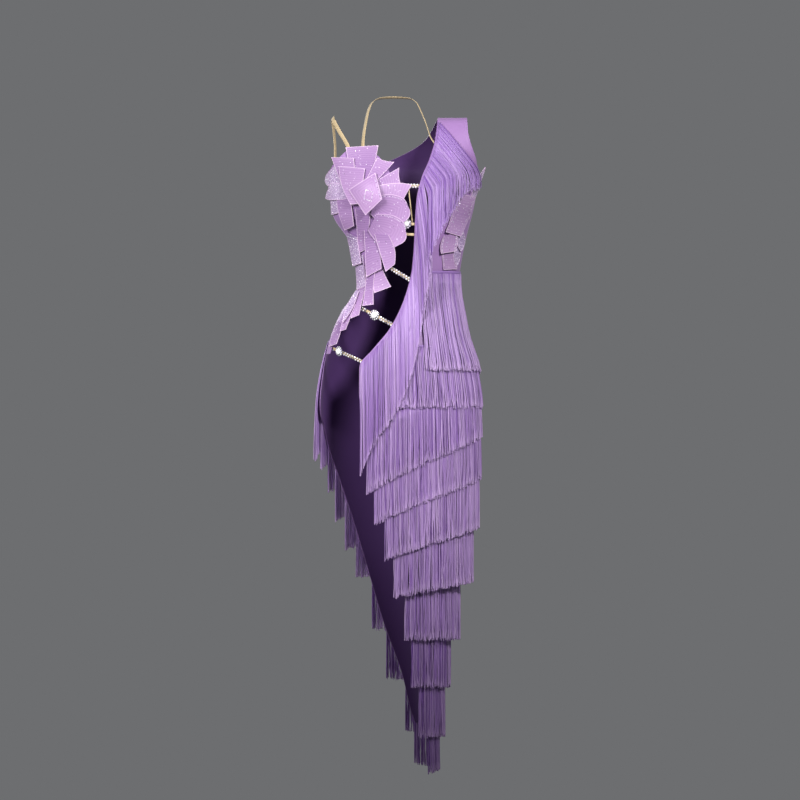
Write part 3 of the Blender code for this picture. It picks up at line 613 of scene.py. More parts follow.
# Strands over a grid of hanging lines: each keeps its place along the strip, drifts towards the middle of its
# clump as it falls, stands off by its layer, sways a little and ends a little short or long. Movements with
# a higher power of the fall set in lower down.
def strandsOver(grid, seed, pitches, depth, steps, uneven, ragged, clump, pull, deeper):
    rng = np.random.default_rng(seed)
    habit = strandHabit
    normal = gridNormals(grid.swapaxes(0, 1)).swapaxes(0, 1)
    length = distances(grid[:, 0])
    falls = distances(grid)[:, -1]
    found = []
    for layer, pitch in enumerate(pitches):
        count = int(length[-1] / pitch)
        s = (np.arange(count) + rng.uniform(0.05, 0.95, count)) / count * length[-1]
        fall = np.interp(s, length, falls)[:, None]
        edges = np.cumsum(rng.uniform(*clump, int(length[-1] / clump[0]) + 4)) - rng.uniform(0, 5)
        own = np.searchsorted(edges, s)
        middle = np.minimum((edges[own] + np.where(own > 0, edges[own - 1], 0)) / 2, length[-1])

        def forClumps(spread):
            return rng.normal(0, spread, len(edges) + 1)[own][:, None]

        def forStrands(spread):
            return rng.normal(0, spread, (count, 1))

        drawn = rng.uniform(*pull, len(edges) + 1)[own][:, None]
        stand = forClumps(habit["clumpStand"] * sum(clump))
        sway = forClumps(habit["clumpSway"]) + forStrands(habit["sway"])
        late = forClumps(uneven * 0.7) + forStrands(uneven * 0.7)
        late = late * (1 + ragged * np.exp(-s / habit["raggedOver"]))[:, None]
        late = habit["latest"] - np.abs(habit["latest"] - late)
        stray = np.where(rng.random((count, 1)) < habit["strays"], forStrands(habit["stray"]), 0)
        t = np.linspace(0, 1, steps - 1)[None, :-1] + np.zeros((count, 1))
        t = np.concatenate([t, 1 - habit["tipLength"] / fall, np.ones((count, 1))], axis=1)
        place = s[:, None] + (middle - s)[:, None] * drawn * t ** 1.2 + sway * t ** 1.5 + stray * t ** 2
        turns = t * rng.uniform(*habit["waves"], (count, 1)) + rng.random((count, 1))
        place = place + habit["wave"] * t * np.sin(2 * math.pi * turns)
        place = place + forStrands(habit["tipKink"]) * t ** 12
        index = np.interp(np.clip(place, 0.3, length[-1] - 0.3), length, np.arange(len(length)))
        row = t * (1 + late / fall)
        path = sample(grid, row * (grid.shape[1] - 1), index)
        path[..., 2] -= np.maximum(row - 1, 0) * fall
        level = depth * ((layer + 0.5) / len(pitches) - 0.5) + rng.uniform(-0.4, 0.4, (count, 1))
        lift = level * np.minimum(1, 0.3 + 4 * t) + stand * t
        out = sample(normal, row * (grid.shape[1] - 1), index)
        path = path + out * np.maximum(lift, -depth / 2 - 0.3)[..., None]
        # Painted light and shade: a strand is darker by its painted shade and in the back layers, and lighter
        # where its clump stands out and at its tip. The rest of the spread is random.
        tone = habit["tone"] - deeper + habit["frontTone"] * (layer + 1) / len(pitches)
        tone = tone + habit["standTone"] * stand
        tone = tone + forStrands(habit["toneSpread"]) + 0 * t
        tone[:, -2:] += habit["tipTone"]
        found.append((path, out, tone))
    return [np.concatenate(part) for part in zip(*found)]


# A fringe: tubes of three sides along its strands, and the tape that they are sewn in, a bar of four sides.
def fringePiece(node, grid, tape, seed, **plan):
    path, out, tone = strandsOver(grid, seed, **plan)
    count, stations = path.shape[:2]
    rng = np.random.default_rng(seed + 500)
    radius = fringeSew["radius"] * rng.uniform(0.85, 1.15, (count, 1)) + np.zeros((1, stations))
    points = strandPoints(path, out, radius, rng.uniform(0, 2 * math.pi / 3, count)).reshape(-1, 3)
    strandSides, strandEnds = tubeFaces(count, stations, 3)
    tapeSides, tapeEnds = tubeFaces(1, len(tape), 4, len(points))
    around = np.broadcast_to([0.0, 2.1, 4.2], (count, stations, 3))
    place = np.stack([around, np.repeat(distances(path)[..., None], 3, -1), 0 * around], -1).reshape(-1, 3)
    along = np.repeat(distances(tape[:, 0]), 4)
    across = np.tile([0, fringeSew["stripWidth"], fringeSew["stripWidth"], 0], len(tape))
    tones = np.repeat(np.clip(tone, 0, 1).ravel(), 3)
    addPiece(
        node.replace("fringe", "strands"), np.concatenate([points, tape.reshape(-1, 3)]),
        [strandSides, tapeSides, tapeEnds, strandEnds], viscose, [node],
        {
            "place": np.concatenate([place, np.stack([along, across, 0 * along], 1)]),
            "tone": np.concatenate([tones, np.full(4 * len(tape), strandHabit["tapeTone"])]),
        },
    )


# A tier's hanging lines: straight down from the strip, pushed out where the figure is wider.
def tierGrid(frontX, root, backX, end):
    rootMid = sum(root) / 3
    first = float(angleOf(frontX, root[0]))
    last = -float(angleOf(backX, root[2]))
    size = float(column(figureCut, "half", rootMid) + column(figureCut, "back", rootMid)) / 2
    step = fringeSew["tierStep"]
    angles = np.linspace(first, last - step / size, max(24, int((last - first) * size / step)))
    ahead = np.clip(angles / first, 0, 1) ** fringeSew["frontEase"]
    behind = np.clip(angles / last, 0, 1) ** fringeSew["backEase"]

    def level(heights):
        return heights[1] + (heights[0] - heights[1]) * ahead + (heights[2] - heights[1]) * behind

    top = level(root)
    fall = top - level(end)
    lift = fringeSew["lift"] + fringeSew["stripThick"] / 2
    lines = [figure(angles, top, lift)]
    steps = 12
    for j in range(1, steps + 1):
        lower = lines[-1] - np.array([0, 0, 1]) * (fall / steps)[:, None]
        lines.append(keepOutside(lower, lift + fringeSew["rise"] * fall * j / steps))
    low, high = fringeSew["lift"], fringeSew["lift"] + fringeSew["stripThick"] * 0.6
    wide = fringeSew["stripWidth"]
    corners = ((wide, low), (0, low), (0, high), (wide, high))
    tape = np.stack([figure(angles, top + up, out) for up, out in corners], axis=1)
    return np.stack(lines, axis=1), tape, float(fall.max())


# The neckline's hanging lines: they run over the bust first or hang from their roots, and end where the table
# says. With a crest, the way across is the fall over the height of the crest, held at 1 with a soft corner.
# Without one it eases out as a parabola.
def necklineGrid(plan):
    fine = np.linspace(plan["root"][-1], plan["root"][0], 400)
    path = distances(np.stack([fine, column(frontEdge, "x", fine)], axis=1))
    z = np.interp(np.linspace(0, path[-1], int(path[-1] / fringeSew["necklineStep"])), path, fine)
    edge = column(frontEdge, "x", z)
    base, thick, wide = fringeSew["lift"], fringeSew["stripThick"], fringeSew["stripWidth"]
    high = base + 0.6 * thick
    corners = ((1, base), (1, high), (1 + wide, high), (1 + wide, base))
    tape = np.stack([front(edge + right, z, out) for right, out in corners], axis=1)
    roots = [-root for root in plan["root"]]
    endX, endZ = smoothThrough(-z, roots, plan["endX"]), smoothThrough(-z, roots, plan["endZ"])
    crest = smoothThrough(-z, roots, plan["crest"]) if plan["crest"] else endZ
    start = front(edge + 1 + wide * 0.5, z, base + thick / 2)
    lines = [start]
    steps = 40
    for j in range(1, steps + 1):
        t = j / steps
        over = (z - endZ) * t / (z - crest)
        gone = over / (1 + over ** 12) ** (1 / 12) if plan["crest"] else 1 - (1 - over) ** 2
        x = start[:, 0] + (endX - start[:, 0]) * gone
        level = z + (endZ - z) * t
        lift = np.minimum(base + plan["rise"] * (z - level), plan["mostLift"]) + 0.5 * thick
        if plan["crest"]:
            onBody = front(x, level, lift)
            onBust = front(x, np.maximum(level, figureCut["cupLevel"]), lift)
            lines.append(np.stack([x, np.minimum(onBody[:, 1], onBust[:, 1]), level], axis=1))
        else:
            lines.append(keepOutside(np.stack([x, lines[-1][:, 1], level], axis=1), lift))
    return np.stack(lines, axis=1)[::-1], tape[::-1]


for number, row in enumerate(tiers):
    grid, tape, fall = tierGrid(*row)
    fringePiece(
        "fringe_tier_%02d" % (number + 1), grid, tape, 100 + number, steps=11 if fall > 150 else 8,
        deeper=fringeSew["deeper"][number], **tierStrands,
    )
fringePiece("fringe_bust", *necklineGrid(bustFringe), **bustStrands)
fringePiece("fringe_apron", *necklineGrid(apronFringe), **apronStrands)
print("fringe made")

petalCut = {
    "wall": 1.2, "layerLift": 2.1, "rows": 22, "columns": 17, "cup": 1.2, "tipEase": 0.9,
    "turn": 0.95,            # past this share of the half width, petals turn round the side
    "patternStep": 61.0,     # sets each petal's pattern of flecks apart
}
petalShapes = {         # half width from root to tip, as shares of the greatest
    "kite": (0.80, 0.88, 0.95, 1.00, 1.00, 0.84, 0.62, 0.34, 0.04),
    "leaf": (0.45, 0.67, 0.85, 0.96, 1.00, 0.90, 0.72, 0.44, 0.08),
    "lobe": (0.55, 0.72, 0.85, 0.95, 1.00, 1.00, 0.96, 0.82, 0.46),
    "flare": (0.45, 0.52, 0.58, 0.65, 0.72, 0.79, 0.86, 0.93, 1.00),
    "square": (0.50, 0.63, 0.74, 0.84, 0.92, 0.97, 1.00, 0.97, 0.88),
}
tipHollow = {"kite": 0.0, "leaf": -0.02, "lobe": -0.10, "flare": 0.035, "square": 0.02}
# Each petal: root x, z, tip x, z, width, shape, slant of the tip, layer, flare, tone (0 deep, 0.7 light).
petalRows = [
    (-73, -131, -69, -64, 57, "flare", 0, 1.0, 3, 0.12),
    (-97, -128, -118, -85, 38, "flare", 0, 2.1, 3, 0.3),
    (-63, -136, -28, -86, 33, "flare", -0.1, 2.1, 3, 0.35),
    (-59, -143, 0, -117, 30, "flare", 0.08, 0.9, 1.5, 0.3),
    (-55, -153, 12, -156, 48, "square", 0.15, 1.7, -0.6, 0.6),
    (-53, -176, 13, -192, 61, "lobe", 0, 3.0, -1.4, 0.45),
    (-54, -208, 5, -238, 62, "lobe", 0, 3.7, -2.2, 0.55),
    (-90, -133, -143, -109, 44, "square", 0.16, 1.0, 3, 0.4),
    (-92, -151, -143, -144, 34, "square", 0.1, 2.1, 3, 0.5),
    (-94, -166, -137, -174, 34, "square", 0.1, 1.0, 1.5, 0.35),
    (-55, -154, -103, -151, 76, "square", 0, 3.6, 2.5, 0.6),
    (-69, -137, -67, -201, 57, "kite", 0, 5.25, 2.5, 0.7),
    (-74, -182, -70, -260, 27, "square", 0, 1.0, 1.5, 0.25),
    (-100, -174, -94, -228, 37, "leaf", 0, 2.2, 3, 0.3),
    (-44, -222, -18, -299, 38, "square", 0, 4.5, -3.2, 0.45),
    (-44, -277, -34, -341, 35, "flare", 0, 0.8, 2.5, 0.4),
    (-58, -300, -62, -370, 21, "flare", 0, 1.95, 1.5, 0.2),
    (-71, -335, -83, -394, 20, "flare", 0, 1.2, 1, 0.5),
    (-86, -366, -108, -423, 16, "flare", 0, 2.4, 1.5, 0.3),
    (-111, -407, -128, -450, 16, "flare", 0, 0.9, 2, 0.15),
    (-94, -224, -86, -284, 17, "leaf", 0, 2.3, 1.5, 0.35),
    (-78, -279, -73, -333, 14, "leaf", 0, 1.0, 1, 0.45),
    (-84, -339, -112, -401, 12, "leaf", 0, 3.5, 1.5, 0.3),
    (-66, -252, -64, -318, 23, "leaf", 0, 2.45, 1.5, 0.25),
    (141, -164, 168, -98, 14, "leaf", 0, 1.0, 14, 0.3),
    (116, -196, 130, -156, 26, "square", 0, 1.0, 3, 0.55),
    (116, -190, 104, -228, 30, "square", 0, 2.05, 3, 0.6),
    (119, -222, 119, -262, 18, "leaf", 0, 1.0, 3, 0.3),
    (102, -224, 86, -284, 34, "lobe", 0, 2.3, 3, 0.65),
    (113, -246, 110, -292, 15, "leaf", 0, 0.8, 2, 0.3),
    (92, -260, 86, -294, 25, "square", 0, 0.8, 2, 0.6),]
silverPetals = (8, 9, 10, 21, 22, 23, 25, 28, 30)
rimmedPetals = (11, 12)      # their pale edge, partly a painted highlight, runs along the root too
sideCluster = 25        # petals from this number on are at the other side, on the front panel
# Petals cut as skewed panels: root left and right, tip left and right, left and right swell.
petalCorners = {
    1: ((-92, -131), (-56, -131), (-106, -60), (-42, -57), 0, 0),
    2: ((-114, -133), (-86, -128), (-134, -79), (-90, -82), 0, 0),
    11: ((-119, -97), (-68, -103), (-96, -173), (-78, -172), 6, 0),
    12: ((-99.6, -144.5), (-47.6, -112), (-67, -194.5), (-34.7, -164), 0, 0),
    13: ((-87, -181), (-57, -188), (-81, -266), (-64, -258), 0, 0),
    14: ((-123, -138.5), (-97, -152), (-108, -222), (-90, -214), 6, 0),
    15: ((-50, -230), (-22, -232), (-28, -303), (-10, -288.5), 0, 6),
    16: ((-60, -270), (-37, -266), (-50, -344), (-17.3, -332), 0, -6),
    17: ((-67, -302), (-48, -299), (-73.5, -369), (-51.5, -366.5), -2, -2),
    18: ((-84, -332), (-66, -325), (-95.5, -393), (-80, -387), 1, 0),
    19: ((-102, -362), (-87, -366), (-117, -418), (-106, -415), 1, 0),
    20: ((-123, -398), (-112, -408), (-139, -448), (-124, -443), 1, 0),
    21: ((-104, -226), (-84, -236), (-93, -291), (-76, -286), 2, 0),
    22: ((-88, -274), (-72, -269), (-85, -337), (-67, -330), 1, 0),
    24: ((-70, -222), (-42, -226), (-66, -313), (-36, -297), 0, 0),
    26: ((103, -196), (135, -200), (121, -152), (148, -156), 0, 0),
    27: ((104, -186), (137, -192), (89, -226), (119, -234), 0, 0),
    29: ((86, -233), (113, -226), (80, -268), (108, -263), 4, 2),
    31: ((81, -264), (106, -262), (85, -299), (112, -297), 0, 0),
}

# A petal's point: along its length and across its width in the front view, then out onto the lifted figure,
# where it turns round the side past a set share of the half width. A skewed petal blends its four corners.
def petalPoint(number, along, across, drop=0.0):
    rootX, rootZ, tipX, tipZ, width, shape, slant, layer, flare = petalRows[number - 1][:9]
    if number in petalCorners:
        *corners, leftSwell, rightSwell = petalCorners[number]
        rootLeft, rootRight, tipLeft, tipRight = np.array(corners, float)
        right = ((1 + across) / 2)[..., None]
        upper = rootLeft * (1 - right) + rootRight * right
        lower = tipLeft * (1 - right) + tipRight * right
        blend = upper * (1 - along[..., None]) + lower * along[..., None]
        swell = rightSwell * (1 + across) / 2 - leftSwell * (1 - across) / 2
        x = blend[..., 0] + swell * np.sin(math.pi * along)
        z = blend[..., 1]
    else:
        half = smoothThrough(along, np.linspace(0, 1, 9), petalShapes[shape]) * width / 2
        run = np.array([tipX - rootX, tipZ - rootZ], float)
        side = np.array([-run[1], run[0]]) / np.linalg.norm(run)
        t = along + slant * across * along ** 2 - tipHollow[shape] * (1 - across ** 2) * along ** 5
        x = rootX + run[0] * t + side[0] * half * across
        z = rootZ + run[1] * t + side[1] * half * across
    lift = petalCut["layerLift"] * layer + petalCut["cup"] * (across ** 2 - 0.4) * along
    lift = lift + (flare + petalCut["tipEase"] * max(layer - 0.8, 0)) * along ** 2
    share = (x - column(figureCut, "centre", z)) / (column(figureCut, "half", z) + lift)
    turn = petalCut["turn"]
    past = np.maximum(np.abs(share) - turn, 0) / (1 - turn)
    share = np.clip(share, -turn, turn) + np.sign(share) * (1 - turn) * np.tanh(past)
    return figure(-np.arccos(share), z, lift - drop)


# A petal: its outer and inner faces as one closed wall. Its values hold millimetres from the cut edge, and
# across the ribs, which follow the edge or the tip.
def petalPiece(number):
    rows, columns = petalCut["rows"], petalCut["columns"]
    shape, tone = petalRows[number - 1][5], petalRows[number - 1][9]
    along = np.linspace(0, 1, rows)[:, None] + np.zeros((1, columns))
    across = np.linspace(-1, 1, columns)[None, :] + np.zeros((rows, 1))
    outer = petalPoint(number, along, across)
    inner = petalPoint(number, along, across, petalCut["wall"])
    long = float(distances(outer[:, columns // 2])[-1])
    widths = distances(outer)[:, -1:]
    edge = np.minimum(widths / 2 * (1 - np.abs(across)), (1 - along) * long)
    if number in rimmedPetals:
        edge = np.minimum(edge, along * long)
    rib = edge if shape in ("kite", "lobe") else (1 - along + tipHollow[shape] * (1 - across ** 2)) * long
    faces = wallFaces(rows, columns)
    middle = (rows // 2, columns // 2)
    if gridNormals(outer)[middle] @ (outer[middle] * np.array([1, 1, 0])) < 0:
        faces = faces[:, ::-1]
    # Painted shade: each petal is darker towards its root, where its folds shade it, and lighter at its tip.
    tone = np.clip(tone + petalLook["rootShade"] * (along - 0.6), 0, 1)
    pattern = petalCut["patternStep"] * number
    place = np.stack([widths / 2 * across + pattern, along * long, 0 * along], -1)
    made = addPiece(
        "petal_cloth_%02d" % number, np.concatenate([outer, inner]), [faces],
        petalSilver if number in silverPetals else petalSatin, ["petal_%02d" % number],
        bothSides(place=place, edge=edge, rib=rib, tone=tone),
    )
    made.data.set_sharp_from_angle(angle=creaseAngle)


for number in range(1, len(petalRows) + 1):
    petalPiece(number)
print("petals made")

petalStones = {
    "radii": (0.6, 1.0), "spacing": 27.0, "jitter": 0.35, "tilt": 0.16,      # dense: closer spacing, by petal
    "dense": {**dict.fromkeys(silverPetals, 4.2), 26: 6.5, 27: 6.5, 29: 14.0, 31: 14.0},
    "lined": (6, 7, 12, 26, 27, 29, 31), "lineRadius": 0.8, "lineSpacing": 3.4, "lineTilt": 0.12,
    "rhombus": [(0.34, 0.0), (0.56, 0.42), (0.78, 0.0), (0.56, -0.42), (0.34, 0.0)],     # along, across
}


# A prism of six sides between two rings, each given by its radius and its height.
def hexPrism(foot, head):
    k = np.arange(6)
    after = (k + 1) % 6
    angle = k * math.pi / 3
    ring = np.stack([np.cos(angle), np.sin(angle), 0 * angle], 1)
    points = np.concatenate([ring * radius + [0, 0, height] for radius, height in (foot, head)])
    return points, [np.stack([k, after, 6 + after, 6 + k], 1), np.array([k[::-1], 6 + k])]


# A large stone: rings of twelve points at the back, the girdle, the crown's middle and the table, each given
# by its radius, its height and its turn in sides. Triangles join the crown's middle ring.
def largeStone():
    rings = np.array([(0.94, 0.0, 0), (1.0, 0.2, 0), (0.8, 0.38, 0.5), (0.5, 0.6, 0)])
    radius, height, turn = rings.T[..., None]
    k = np.arange(12)
    after = (k + 1) % 12
    angle = (k + turn) * math.pi / 6
    points = np.stack([radius * np.cos(angle), radius * np.sin(angle), height + 0 * angle], -1)
    triangles = np.concatenate([
        np.stack([12 + k, 12 + after, 24 + k], 1), np.stack([12 + after, 24 + after, 24 + k], 1),
        np.stack([24 + k, 24 + after, 36 + after], 1), np.stack([24 + k, 36 + after, 36 + k], 1),
    ])
    quads = np.stack([k, after, 12 + after, 12 + k], 1)
    return points.reshape(-1, 3), [triangles, quads, np.array([k[::-1], 36 + k])]


smallStone = hexPrism((1.0, 0.0), (0.58, 0.5))       # flat-backed: the girdle, and a smaller table above it
stoneCup = hexPrism((1.0, -0.55), (1.15, 0.06))      # wider at its mouth than at its foot


# Copies of a template at many places: scaled, turned about the normal, and set on the surface.
def stonePiece(name, centres, normals, radii, seed, template, material):
    rng = np.random.default_rng(seed)
    points, faces = template
    count = len(centres)
    normals = unit(np.asarray(normals))
    helper = np.where(np.abs(normals[:, 2:3]) > 0.9, [[1.0, 0, 0]], [[0, 0, 1.0]])
    first = unit(np.cross(helper, normals))
    second = np.cross(normals, first)
    spin = rng.uniform(0, math.pi, count)[:, None]
    c, s = np.cos(spin), np.sin(spin)
    axes = np.stack([first * c + second * s, second * c - first * s, normals], axis=1)
    radii = np.broadcast_to(radii, count)[:, None, None]
    placed = np.asarray(centres)[:, None] + (points * radii) @ axes
    shift = np.arange(count)[:, None, None] * len(points)
    copies = [(face[None] + shift).reshape(-1, face.shape[1]) for face in faces]
    tone = np.repeat(rng.random(count), len(points))
    addPiece(name, placed, copies, material, (), {"tone": tone}, flat=True)


# Point and normal of a petal's outer face at many places.
def petalSurface(number, along, across):
    here = petalPoint(number, along, across)
    step = 0.01
    down = petalPoint(number, along + step, across) - here
    right = petalPoint(number, along, across + step) - here
    normal = unit(np.cross(down, right))
    outwardSide = np.sign(np.sum(normal * here * np.array([1, 1, 0]), axis=-1, keepdims=True))
    return here, normal * outwardSide


# One stone in each cell of a grid over each petal, moved by about a third of the cell at most.
def scatterPetalStones():
    rng = np.random.default_rng(31)
    centres, normals, radii = [], [], []
    jitter = petalStones["jitter"]
    for number in range(1, len(petalRows) + 1):
        rootX, rootZ, tipX, tipZ, width = petalRows[number - 1][:5]
        length = math.hypot(tipX - rootX, tipZ - rootZ)
        spacing = petalStones["dense"].get(number, petalStones["spacing"])
        rows, columns = max(3, int(length / spacing)), max(2, int(width / spacing))
        i, j = np.meshgrid(np.arange(rows), np.arange(columns), indexing="ij")
        along = np.clip((i + 0.5 + rng.uniform(-jitter, jitter, i.shape)) / rows, 0.1, 0.95).ravel()
        across = ((j + 0.5 + rng.uniform(-jitter, jitter, j.shape)) / columns * 2 - 1) * 0.92
        here, normal = petalSurface(number, along, np.clip(across, -0.9, 0.9).ravel())
        centres.append(here)
        normals.append(normal + rng.normal(0, petalStones["tilt"], here.shape))
        radii.append(rng.uniform(*petalStones["radii"], len(here)))
    centres, normals, radii = (np.concatenate(part) for part in (centres, normals, radii))
    stonePiece("stones_petals", centres, normals, radii, 32, smallStone, crystal)


# Stones in lines: along the sides of some petals, and in a rhombus of nine a side on the middle one.
def linePetalStones():
    centres, normals = [], []
    for number in petalStones["lined"]:
        rootX, rootZ, tipX, tipZ = petalRows[number - 1][:4]
        count = int(math.hypot(tipX - rootX, tipZ - rootZ) / petalStones["lineSpacing"])
        along = np.linspace(0.15, 0.93, count)
        for across in ((0.8, -0.8) if number >= sideCluster else (0.86,)):
            here, normal = petalSurface(number, along, np.full(count, across))
            centres.append(here)
            normals.append(normal)
    corners = readAt(np.linspace(0, 4, 37)[:-1], np.arange(5), np.array(petalStones["rhombus"]))
    here, normal = petalSurface(12, *corners.T)
    centres, normals = np.concatenate(centres + [here]), np.concatenate(normals + [normal])
    normals = normals + np.random.default_rng(8).normal(0, petalStones["lineTilt"], normals.shape)
    stonePiece("stones_lines", centres, normals, petalStones["lineRadius"], 33, smallStone, crystal)


scatterPetalStones()
linePetalStones()
print("petal stones set")

bandCut = {
    "hold": 3.0, "rise": 2.4, "thick": 2.0, "elastic": 1.0, "narrower": 0.6, "large": 6.4, "ring": 8.6,
    "clear": 10.6,           # small stones keep this far from a large one
    "rowSink": 0.55, "ringSink": 0.3, "largeRise": 0.2, "ringSpread": 0.05, "stagger": 0.25, "ends": 2.5,
    "stone": 2.05, "pitch": 5.4, "rowGap": 4.7,      # drawn larger than real, so that each stone shows
    "tilt": 0.22, "towardsFront": (0.0, -0.6, 0.25),
}
bands = [               # left and right height, width, lift of the ends, share at which the large stone sits
    (-137, -137, 6, -3.4, None), (-208, -211, 6, -3.0, 0.55), (-230, -231, 5, -3.0, None),
    (-286, -320, 6, -2.9, None), (-370, -407, 6, -4.6, 0.46), (-450, -478, 6, -3.2, 0.26),
]
plainBand = "band_03"        # elastic only, with no stones
ribbonProfile = np.array([   # across as a share of the width, out as a share of the thickness
    (-0.5, -0.25), (-0.5, -0.75), (-0.42, -1), (0.42, -1), (0.5, -0.75), (0.5, -0.25), (0.42, 0), (-0.42, 0),
])


# A ribbon: a rounded oblong of eight points carried along a path, its outer face on the path.
def ribbonPiece(name, path, outward, widths, thick, replaces=()):
    run = unit(np.gradient(path, axis=0))
    outward = unit(outward - run * np.sum(outward * run, axis=1, keepdims=True))
    side = np.cross(run, outward)
    across = ribbonProfile[:, 0] * np.broadcast_to(widths, len(path))[:, None]
    out = ribbonProfile[:, 1:] * thick
    points = path[:, None] + side[:, None] * across[..., None] + outward[:, None] * out
    place = np.stack([across, distances(path)[:, None] + 0 * across, 0 * across], -1)
    faces = tubeFaces(1, len(path), len(ribbonProfile))
    addPiece(name, points, faces, elastic, replaces, {"place": place})


# A band's path: straight in the front view, held under both edges, its lift following half a sine.
def bandPath(leftZ, rightZ, under):
    leftX = float(column(cupInnerEdge, "x", leftZ)) - bandCut["hold"]
    rightX = float(column(frontEdge, "x", rightZ)) + bandCut["hold"]
    t = np.linspace(0, 1, 61)
    x, z = leftX + (rightX - leftX) * t, leftZ + (rightZ - leftZ) * t
    path = front(x, z, under + bandCut["rise"] * np.sin(math.pi * t))
    axis = np.stack([column(figureCut, "centre", z), 0 * z, z], axis=1)
    return t, path, unit(path - axis)


# Each band is an elastic with two rows of small stones. Some hold a large stone with a ring of small ones.
def bandPieces():
    centres, normals, large, largeNormals = [], [], [], []
    for number, (leftZ, rightZ, width, under, stone) in enumerate(bands, 1):
        node = "band_%02d" % number
        t, path, outward = bandPath(leftZ, rightZ, under)
        if node == plainBand:
            ribbonPiece("elastic_" + node, path, outward, width, bandCut["thick"], [node])
            continue
        drop = bandCut["thick"] - bandCut["elastic"]
        ribbonPiece(
            "elastic_" + node, path - outward * drop, outward, width - bandCut["narrower"],
            bandCut["elastic"], [node],
        )
        run = unit(np.gradient(path, axis=0))
        side = np.cross(run, outward)
        length = distances(path)
        span = length[-1] - 2 * bandCut["ends"]
        count = int(span / bandCut["pitch"])
        at = bandCut["ends"] + (np.arange(count) + 0.5) / count * span
        if stone:
            at = at[np.abs(at - stone * length[-1]) > bandCut["clear"]]
        here, out, along = (readAt(at, length, part) for part in (path, outward, side))
        for way in (-1, 1):
            shift = along * way * bandCut["rowGap"] / 2 + np.gradient(here, axis=0) * way * bandCut["stagger"]
            centres.append(here - out * bandCut["rowSink"] + shift)
            normals.append(out)
        if stone:
            here, out, along, ahead = (readAt(stone, t, part) for part in (path, outward, side, run))
            large.append(here + out * bandCut["largeRise"])
            largeNormals.append(unit(out + bandCut["towardsFront"]))
            angle = np.arange(12)[:, None] * math.pi / 6
            ring = bandCut["ring"] * (np.cos(angle) * along + np.sin(angle) * ahead)
            centres.append(here + ring - out * bandCut["ringSink"])
            normals.append(out + ring * bandCut["ringSpread"])
    centres, normals = np.concatenate(centres), unit(np.concatenate(normals))
    tilted = normals + np.random.default_rng(77).normal(0, bandCut["tilt"], normals.shape)
    stonePiece("stones_bands", centres, tilted, bandCut["stone"], 41, smallStone, crystal)
    stonePiece("cups_bands", centres, normals, bandCut["stone"], 42, stoneCup, setting)
    stonePiece("stones_large", large, largeNormals, bandCut["large"], 1560, largeStone(), crystal)
    stonePiece("cups_large", large, largeNormals, bandCut["large"] * 0.95, 44, stoneCup, setting)


bandPieces()

# The thin upright elastic that holds the first band to the second.
tie = {"top": (16.5, -139), "foot": (24.0, -207), "lift": -1.4, "width": 2.2, "thick": 0.8}
path = front(*np.linspace(tie["top"], tie["foot"], 20).T, tie["lift"])
ribbonPiece("elastic_tie", path, path * np.array([1, 1, 0]), tie["width"], tie["thick"])
print("bands made")

strapCut = {
    "shoulder": 8.5, "thick": 1.2, "neckAt": [0, 0.3, 0.6, 0.8], "neck": [9.5, 9.0, 6.5, 4.5],
    "shoulderCentre": (-60, 0, -60), "neckCentre": (-12, 0, -40),       # outer faces look away from these
}
# Places on the figure are x, z and lift. Between them the straps run free, through x, y and z.
shoulderFront = [
    (-100, -72, -3.4), (-103, -60, -2.8), (-110, -44, -1.0), (-119, -27, 0.5), (-127, -12, 0.5),
    (-131, -4, 0.5),
]
shoulderTop = [(-132.0, 0.0, 0.8)]
shoulderBack = [
    (-132, -4, 0.5), (-131, -14, 0.5), (-129, -34, 0.5), (-127, -62, 0.8), (-126, -94, 1.9),
    (-125, -112, 2.0),
]
halterCup = [(-76, -74, -4.4), (-75, -64, -3.6), (-73, -48, -1.0)]
halterNeck = [
    (-67, -30, -8), (-61, -10, 18), (-53, 12, 33), (-38, 37, 41), (-12, 49, 43), (15, 38, 41), (31, 13, 33),
    (41, -8, 14), (52, -25, -14),
]
halterEdge = [(61, -40, -2.4), (69, -52, -3.6)]


def onFigure(rows, way):
    x, z, lift = np.array(rows, float).T
    return figure(way * angleOf(x, z), z, lift)


# A strap: a ribbon on a smooth curve through its places, by distance along them.
def strapPiece(name, route, count, centre, widths):
    route = np.concatenate(route)
    length = distances(route)
    at = np.linspace(0, length[-1], count)
    path = np.stack([smoothThrough(at, length, route[:, i]) for i in range(3)], axis=1)
    ribbonPiece(
        "elastic_" + name, path, path - np.array(centre), widths, strapCut["thick"],
        ["strap_" + name],
    )


strapPiece(
    "shoulder", [onFigure(shoulderFront, 1), shoulderTop, onFigure(shoulderBack, -1)], 90,
    strapCut["shoulderCentre"], strapCut["shoulder"],
)
strapPiece(
    "halter", [onFigure(halterCup, 1), halterNeck, onFigure(halterEdge, 1)], 140,
    strapCut["neckCentre"], np.interp(np.linspace(0, 1, 140), strapCut["neckAt"], strapCut["neck"]),
)
print("straps made")

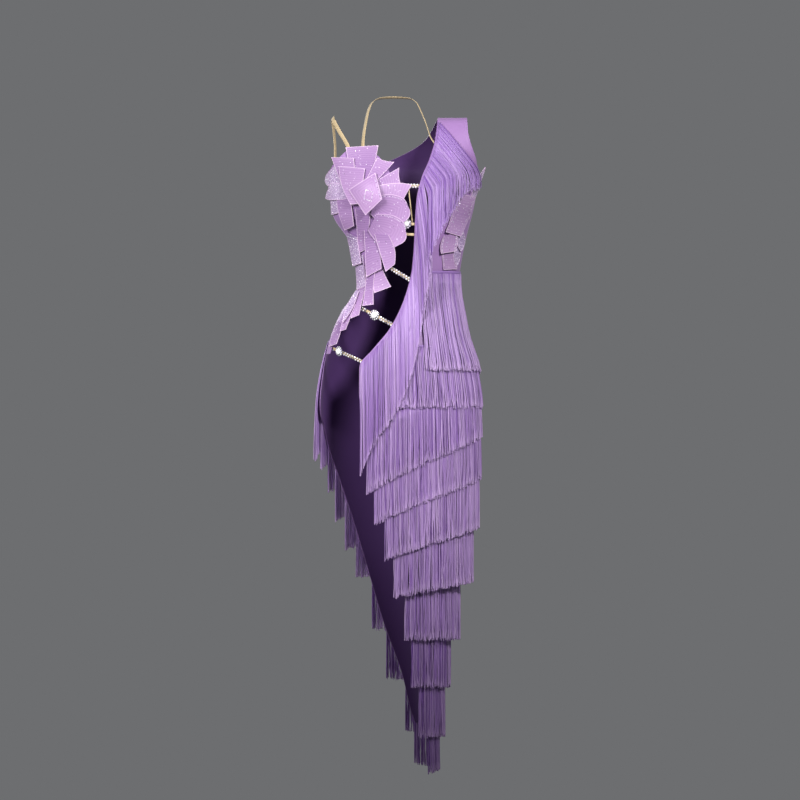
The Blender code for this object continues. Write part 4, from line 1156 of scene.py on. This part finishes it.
studio = {
    "floorZ": -1.46, "floorRadius": 0.62, "floorColour": "#D9D6D3", "backdrop": "#6D6E70",
    "cameraPlace": (0.0, -10.0, -0.552), "lens": 230.0,
}
lamps = {               # place, aim, power, radius, cone in degrees, share of the cone that fades
    "key": ((0.90, -2.10, 0.60), (0.04, 0.0, -0.38), 228.0, 0.22, 33, 0.5),
    "fill": ((-1.25, -1.85, 0.60), (-0.10, 0.0, -0.28), 255.0, 0.40, 32, 0.9),
    "side": ((-2.2, -0.9, 0.1), (-0.17, 0.0, -0.42), 60.0, 0.30, 17, 0.9),
    "back": ((-1.2, 2.1, 0.5), (0.0, 0.0, -0.45), 75.0, 0.45, 46, 0.9),
}


# A round floor: one face through points at even angles.
def floorDisc():
    angle = np.arange(96) * 2 * math.pi / 96
    ring = np.stack([np.cos(angle), np.sin(angle), 0 * angle], 1) * studio["floorRadius"]
    ring[:, 2] = studio["floorZ"]
    made, tree, shader = startMaterial("paintedBoard", studio["floorColour"], Roughness=0.7)
    place = addNode(tree, "TexCoord")
    noise = addNode(tree, "TexNoise", {"Vector": place["Object"], "Scale": 40.0, "Detail": 3.0})
    bump = addNode(tree, "Bump", {"Height": noise["Fac"], "Strength": 0.05, "Distance": mm})
    setInputs(shader, {"Normal": bump[0]})
    mesh = bpy.data.meshes.new("floor")
    mesh.from_pydata(ring.tolist(), [], [tuple(range(96))])
    mesh.materials.append(made)
    floor = bpy.data.objects.new("floor", mesh)
    scene.collection.objects.link(floor)
    floor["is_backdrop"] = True


def addLamp(name):
    place, aim, power, radius, cone, fade = lamps[name]
    light = bpy.data.lights.new(name, "SPOT")
    light.energy = power
    light.shadow_soft_size = radius
    light.spot_size = math.radians(cone)
    light.spot_blend = fade
    holder = bpy.data.objects.new(name, light)
    holder.location = place
    holder.rotation_euler = (Vector(aim) - Vector(place)).to_track_quat("-Z", "Y").to_euler()
    scene.collection.objects.link(holder)


floorDisc()
for lampName in lamps:
    addLamp(lampName)
world = bpy.data.worlds.new("studioGrey")
world.use_nodes = True
world.node_tree.nodes["Background"].inputs["Color"].default_value = toLinear(studio["backdrop"])
scene.world = world
cameraData = bpy.data.cameras.new("camera")
cameraData.lens = studio["lens"]
cameraData.sensor_width = 36.0
camera = bpy.data.objects.new("camera", cameraData)
camera.location = studio["cameraPlace"]
camera.rotation_euler = (math.pi / 2, 0, 0)
scene.collection.objects.link(camera)
scene.camera = camera
scene.view_settings.view_transform = "Standard"
print("stage set")

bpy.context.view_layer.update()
meshes = [piece.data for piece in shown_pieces() if piece.type == "MESH"]
print("triangles", sum(len(polygon.vertices) - 2 for mesh in meshes for polygon in mesh.polygons))
